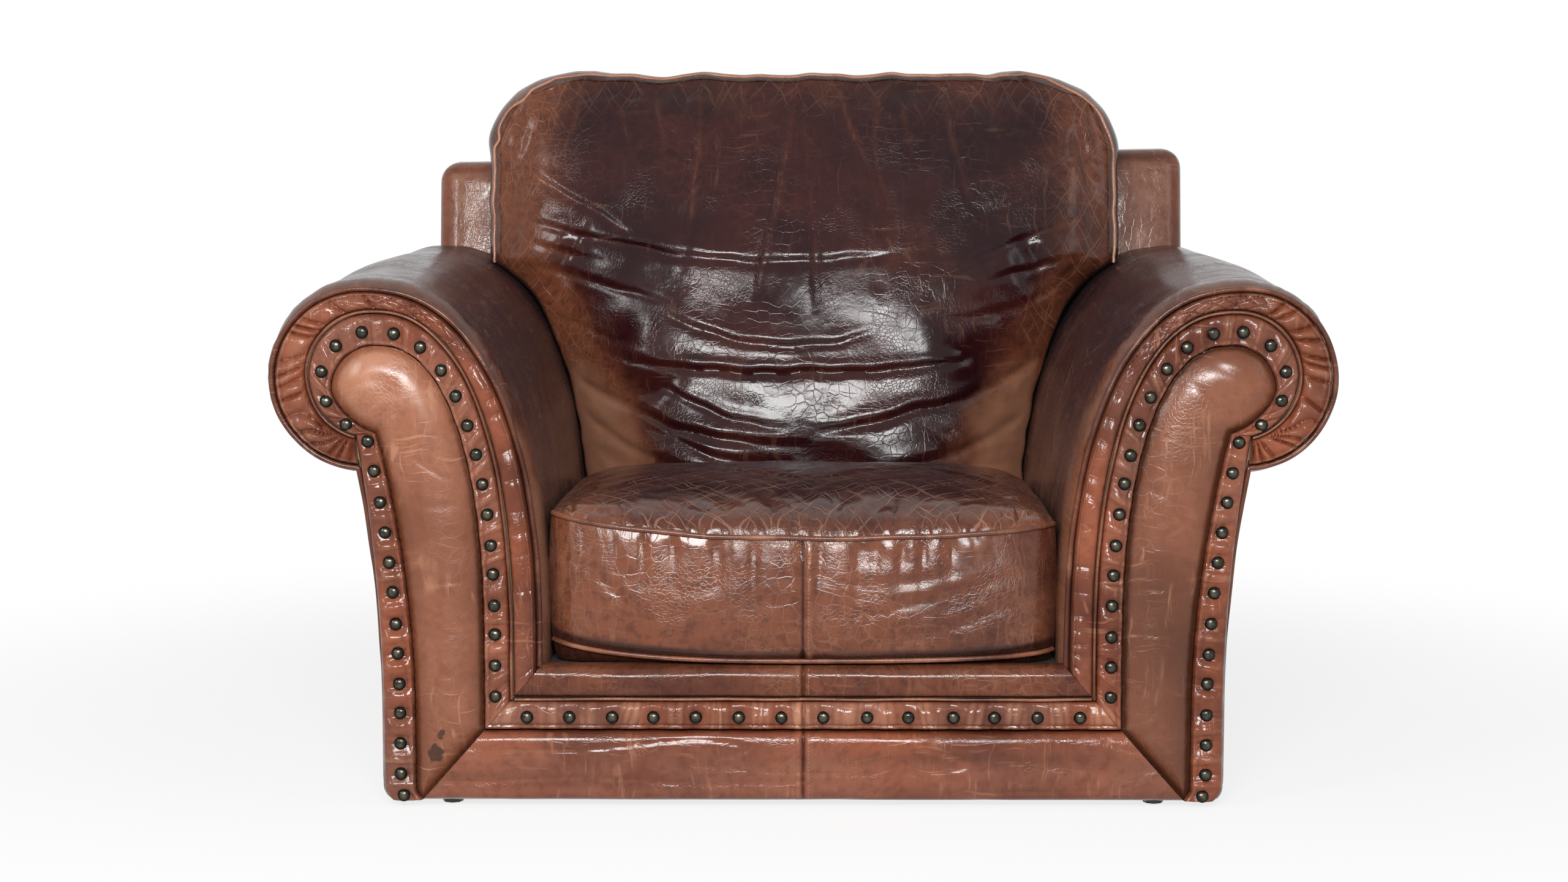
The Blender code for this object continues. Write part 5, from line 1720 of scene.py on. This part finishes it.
class CHAIR_OT_stage(bpy.types.Operator):
    """Sets the camera, the lamps, the white room and the floor"""

    bl_idname = "chair.stage"
    bl_label = "Stage"

    def execute(self, context):
        sizes = context.scene.chair_sizes
        deselect()
        turn = (math.pi / 2 - sizes.camera_pitch, 0, sizes.camera_turn)
        bpy.ops.object.camera_add(location=sizes.camera_place, rotation=turn)
        camera = context.object
        camera.name = "camera"
        camera.data.lens = sizes.camera_lens
        camera.data.sensor_width = 36.0
        context.scene.camera = camera
        for name, place, aim, wide, high, power in (
            ("key", (-0.10, -3.35, 1.55), (0.0, 0.0, 0.45), 1.45, 0.58, sizes.key_power),
            ("left", (-2.3, -2.7, 1.9), (-0.2, 0.0, 0.45), 0.6, 1.0, 3.2 * sizes.fill_power),
            ("right", (3.0, -1.8, 2.0), (0.2, 0.0, 0.45), 0.8, 1.6, sizes.fill_power),
        ):
            look = (Vector(aim) - Vector(place)).to_track_quat("-Z", "Y").to_euler()
            bpy.ops.object.light_add(type="AREA", location=place, rotation=look)
            lamp = context.object
            lamp.name = name
            lamp.data.shape = "RECTANGLE"
            lamp.data.size = wide
            lamp.data.size_y = high
            lamp.data.energy = power
        self.make_room(context, sizes)
        self.make_floor()
        context.scene.view_settings.view_transform = "Standard"
        return {"FINISHED"}

    def make_room(self, context, sizes):
        """A white room to the camera, in reflections and through glass, which lights the chair less."""
        world = bpy.data.worlds.new("room")
        context.scene.world = world
        world.use_nodes = True
        tree = world.node_tree
        background = tree.nodes["Background"]
        rays = tree.nodes.new("ShaderNodeLightPath")
        total = rays.outputs["Is Camera Ray"]
        for kind in ("Is Glossy Ray", "Is Transmission Ray"):
            node = tree.nodes.new("ShaderNodeMath")
            node.operation = "MAXIMUM"
            tree.links.new(total, node.inputs[0])
            tree.links.new(rays.outputs[kind], node.inputs[1])
            total = node.outputs[0]
        scale = tree.nodes.new("ShaderNodeMapRange")
        tree.links.new(total, scale.inputs["Value"])
        scale.inputs["To Min"].default_value = sizes.sky
        scale.inputs["To Max"].default_value = 1.0
        background.inputs["Color"].default_value = (1, 1, 1, 1)
        tree.links.new(scale.outputs["Result"], background.inputs["Strength"])

    def make_floor(self):
        """A pale floor that takes the chair's shadow near it and is white further off."""
        deselect()
        bpy.ops.mesh.primitive_circle_add(vertices=96, radius=6.0, fill_type="NGON", location=(0, 0, -0.0005))
        floor = named(bpy.context.object, "floor")
        recipe = Recipe("floor")
        recipe.finish_with(Base_Color=(0.9, 0.9, 0.9, 1), Roughness=0.9)
        rays = recipe.node("LightPath")
        kinds = ("Is Camera Ray", "Is Glossy Ray", "Is Transmission Ray")
        seen = recipe.most(*(rays.outputs[kind] for kind in kinds))
        spread = recipe.node("VectorMath")
        spread.operation = "LENGTH"
        recipe.feed(spread.inputs[0], recipe.place)
        share = recipe.times(seen, recipe.between(spread.outputs["Value"], 0.7, 1.8, 0.80, 1.0))
        glow = recipe.node("Emission", Color=(1, 1, 1, 1))
        both = recipe.node("MixShader")
        for socket, value in zip(both.inputs, (share, recipe.shader.outputs[0], glow.outputs[0])):
            recipe.feed(socket, value)
        recipe.feed(recipe.tree.nodes["Material Output"].inputs["Surface"], both.outputs[0])
        floor.data.materials.append(recipe.material)


class CHAIR_OT_frame(bpy.types.Operator):
    """Gives the wood, springs, webbing, cloth and glides of the frame their finishes"""

    bl_idname = "chair.frame"
    bl_label = "Frame"

    def execute(self, context):
        for name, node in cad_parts.items():
            if "spring" in name:
                kind = "spring_steel"
            elif "webbing" in name:
                kind = "webbing"
            elif "glide" in name:
                kind = "glide_plastic"
            elif name in ("seat_deck", "dust_cover"):
                kind = "deck_cloth"
            else:
                kind = "beech"
            if not node.material_slots:
                node.data.materials.append(None)
            for holder in node.material_slots:
                holder.material = finish(kind)
        return {"FINISHED"}


class CHAIR_OT_arms(bpy.types.Operator):
    """Covers both arms: rolls, borders, nail strips, panels and piping"""

    bl_idname = "chair.arms"
    bl_label = "Arms"

    def execute(self, context):
        for side_name, side in SIDES:
            arm_cover(side_name, side)
            arm_back_panel(side_name, side)
            arm_border(side_name, side)
            arm_nail_strip(side_name, side)
            arm_panel(side_name, side)
            arm_welts(side_name, side)
            arm_nails(side_name, side)
        return {"FINISHED"}


class CHAIR_OT_apron(bpy.types.Operator):
    """Covers the apron across the front"""

    bl_idname = "chair.apron"
    bl_label = "Apron"

    def execute(self, context):
        apron()
        return {"FINISHED"}


class CHAIR_OT_back(bpy.types.Operator):
    """Covers the case of the back and makes its pillow"""

    bl_idname = "chair.back"
    bl_label = "Back"

    def execute(self, context):
        back_case()
        back_piping()
        back_pillow()
        return {"FINISHED"}


class CHAIR_OT_seat(bpy.types.Operator):
    """Makes the boxed seat cushion with its piping"""

    bl_idname = "chair.seat"
    bl_label = "Seat Cushion"

    def execute(self, context):
        seat_cushion()
        return {"FINISHED"}


STEPS = (CHAIR_OT_stage, CHAIR_OT_frame, CHAIR_OT_arms, CHAIR_OT_apron, CHAIR_OT_back, CHAIR_OT_seat)


class CHAIR_PT_panel(bpy.types.Panel):
    """Lists the steps that dress the chair"""

    bl_idname = "CHAIR_PT_panel"
    bl_label = "Worn Club Chair"
    bl_space_type = "VIEW_3D"
    bl_region_type = "UI"
    bl_category = "Chair"

    def draw(self, context):
        for step in STEPS:
            self.layout.operator(step.bl_idname)
        for group in (context.scene.chair_sizes, context.scene.chair_looks):
            for name in group.bl_rna.properties.keys():
                if name not in ("rna_type", "name"):
                    self.layout.prop(group, name)


CLASSES = (ChairSizes, ChairLooks, *STEPS, CHAIR_PT_panel)


def register():
    for kind in CLASSES:
        bpy.utils.register_class(kind)
    bpy.types.Scene.chair_sizes = bpy.props.PointerProperty(type=ChairSizes)
    bpy.types.Scene.chair_looks = bpy.props.PointerProperty(type=ChairLooks)


def unregister():
    del bpy.types.Scene.chair_looks
    del bpy.types.Scene.chair_sizes
    for kind in reversed(CLASSES):
        bpy.utils.unregister_class(kind)


def main():
    register()
    bpy.ops.chair.stage()
    bpy.ops.chair.frame()
    bpy.ops.chair.arms()
    bpy.ops.chair.apron()
    bpy.ops.chair.back()
    bpy.ops.chair.seat()


if __name__ == "__main__":
    main()
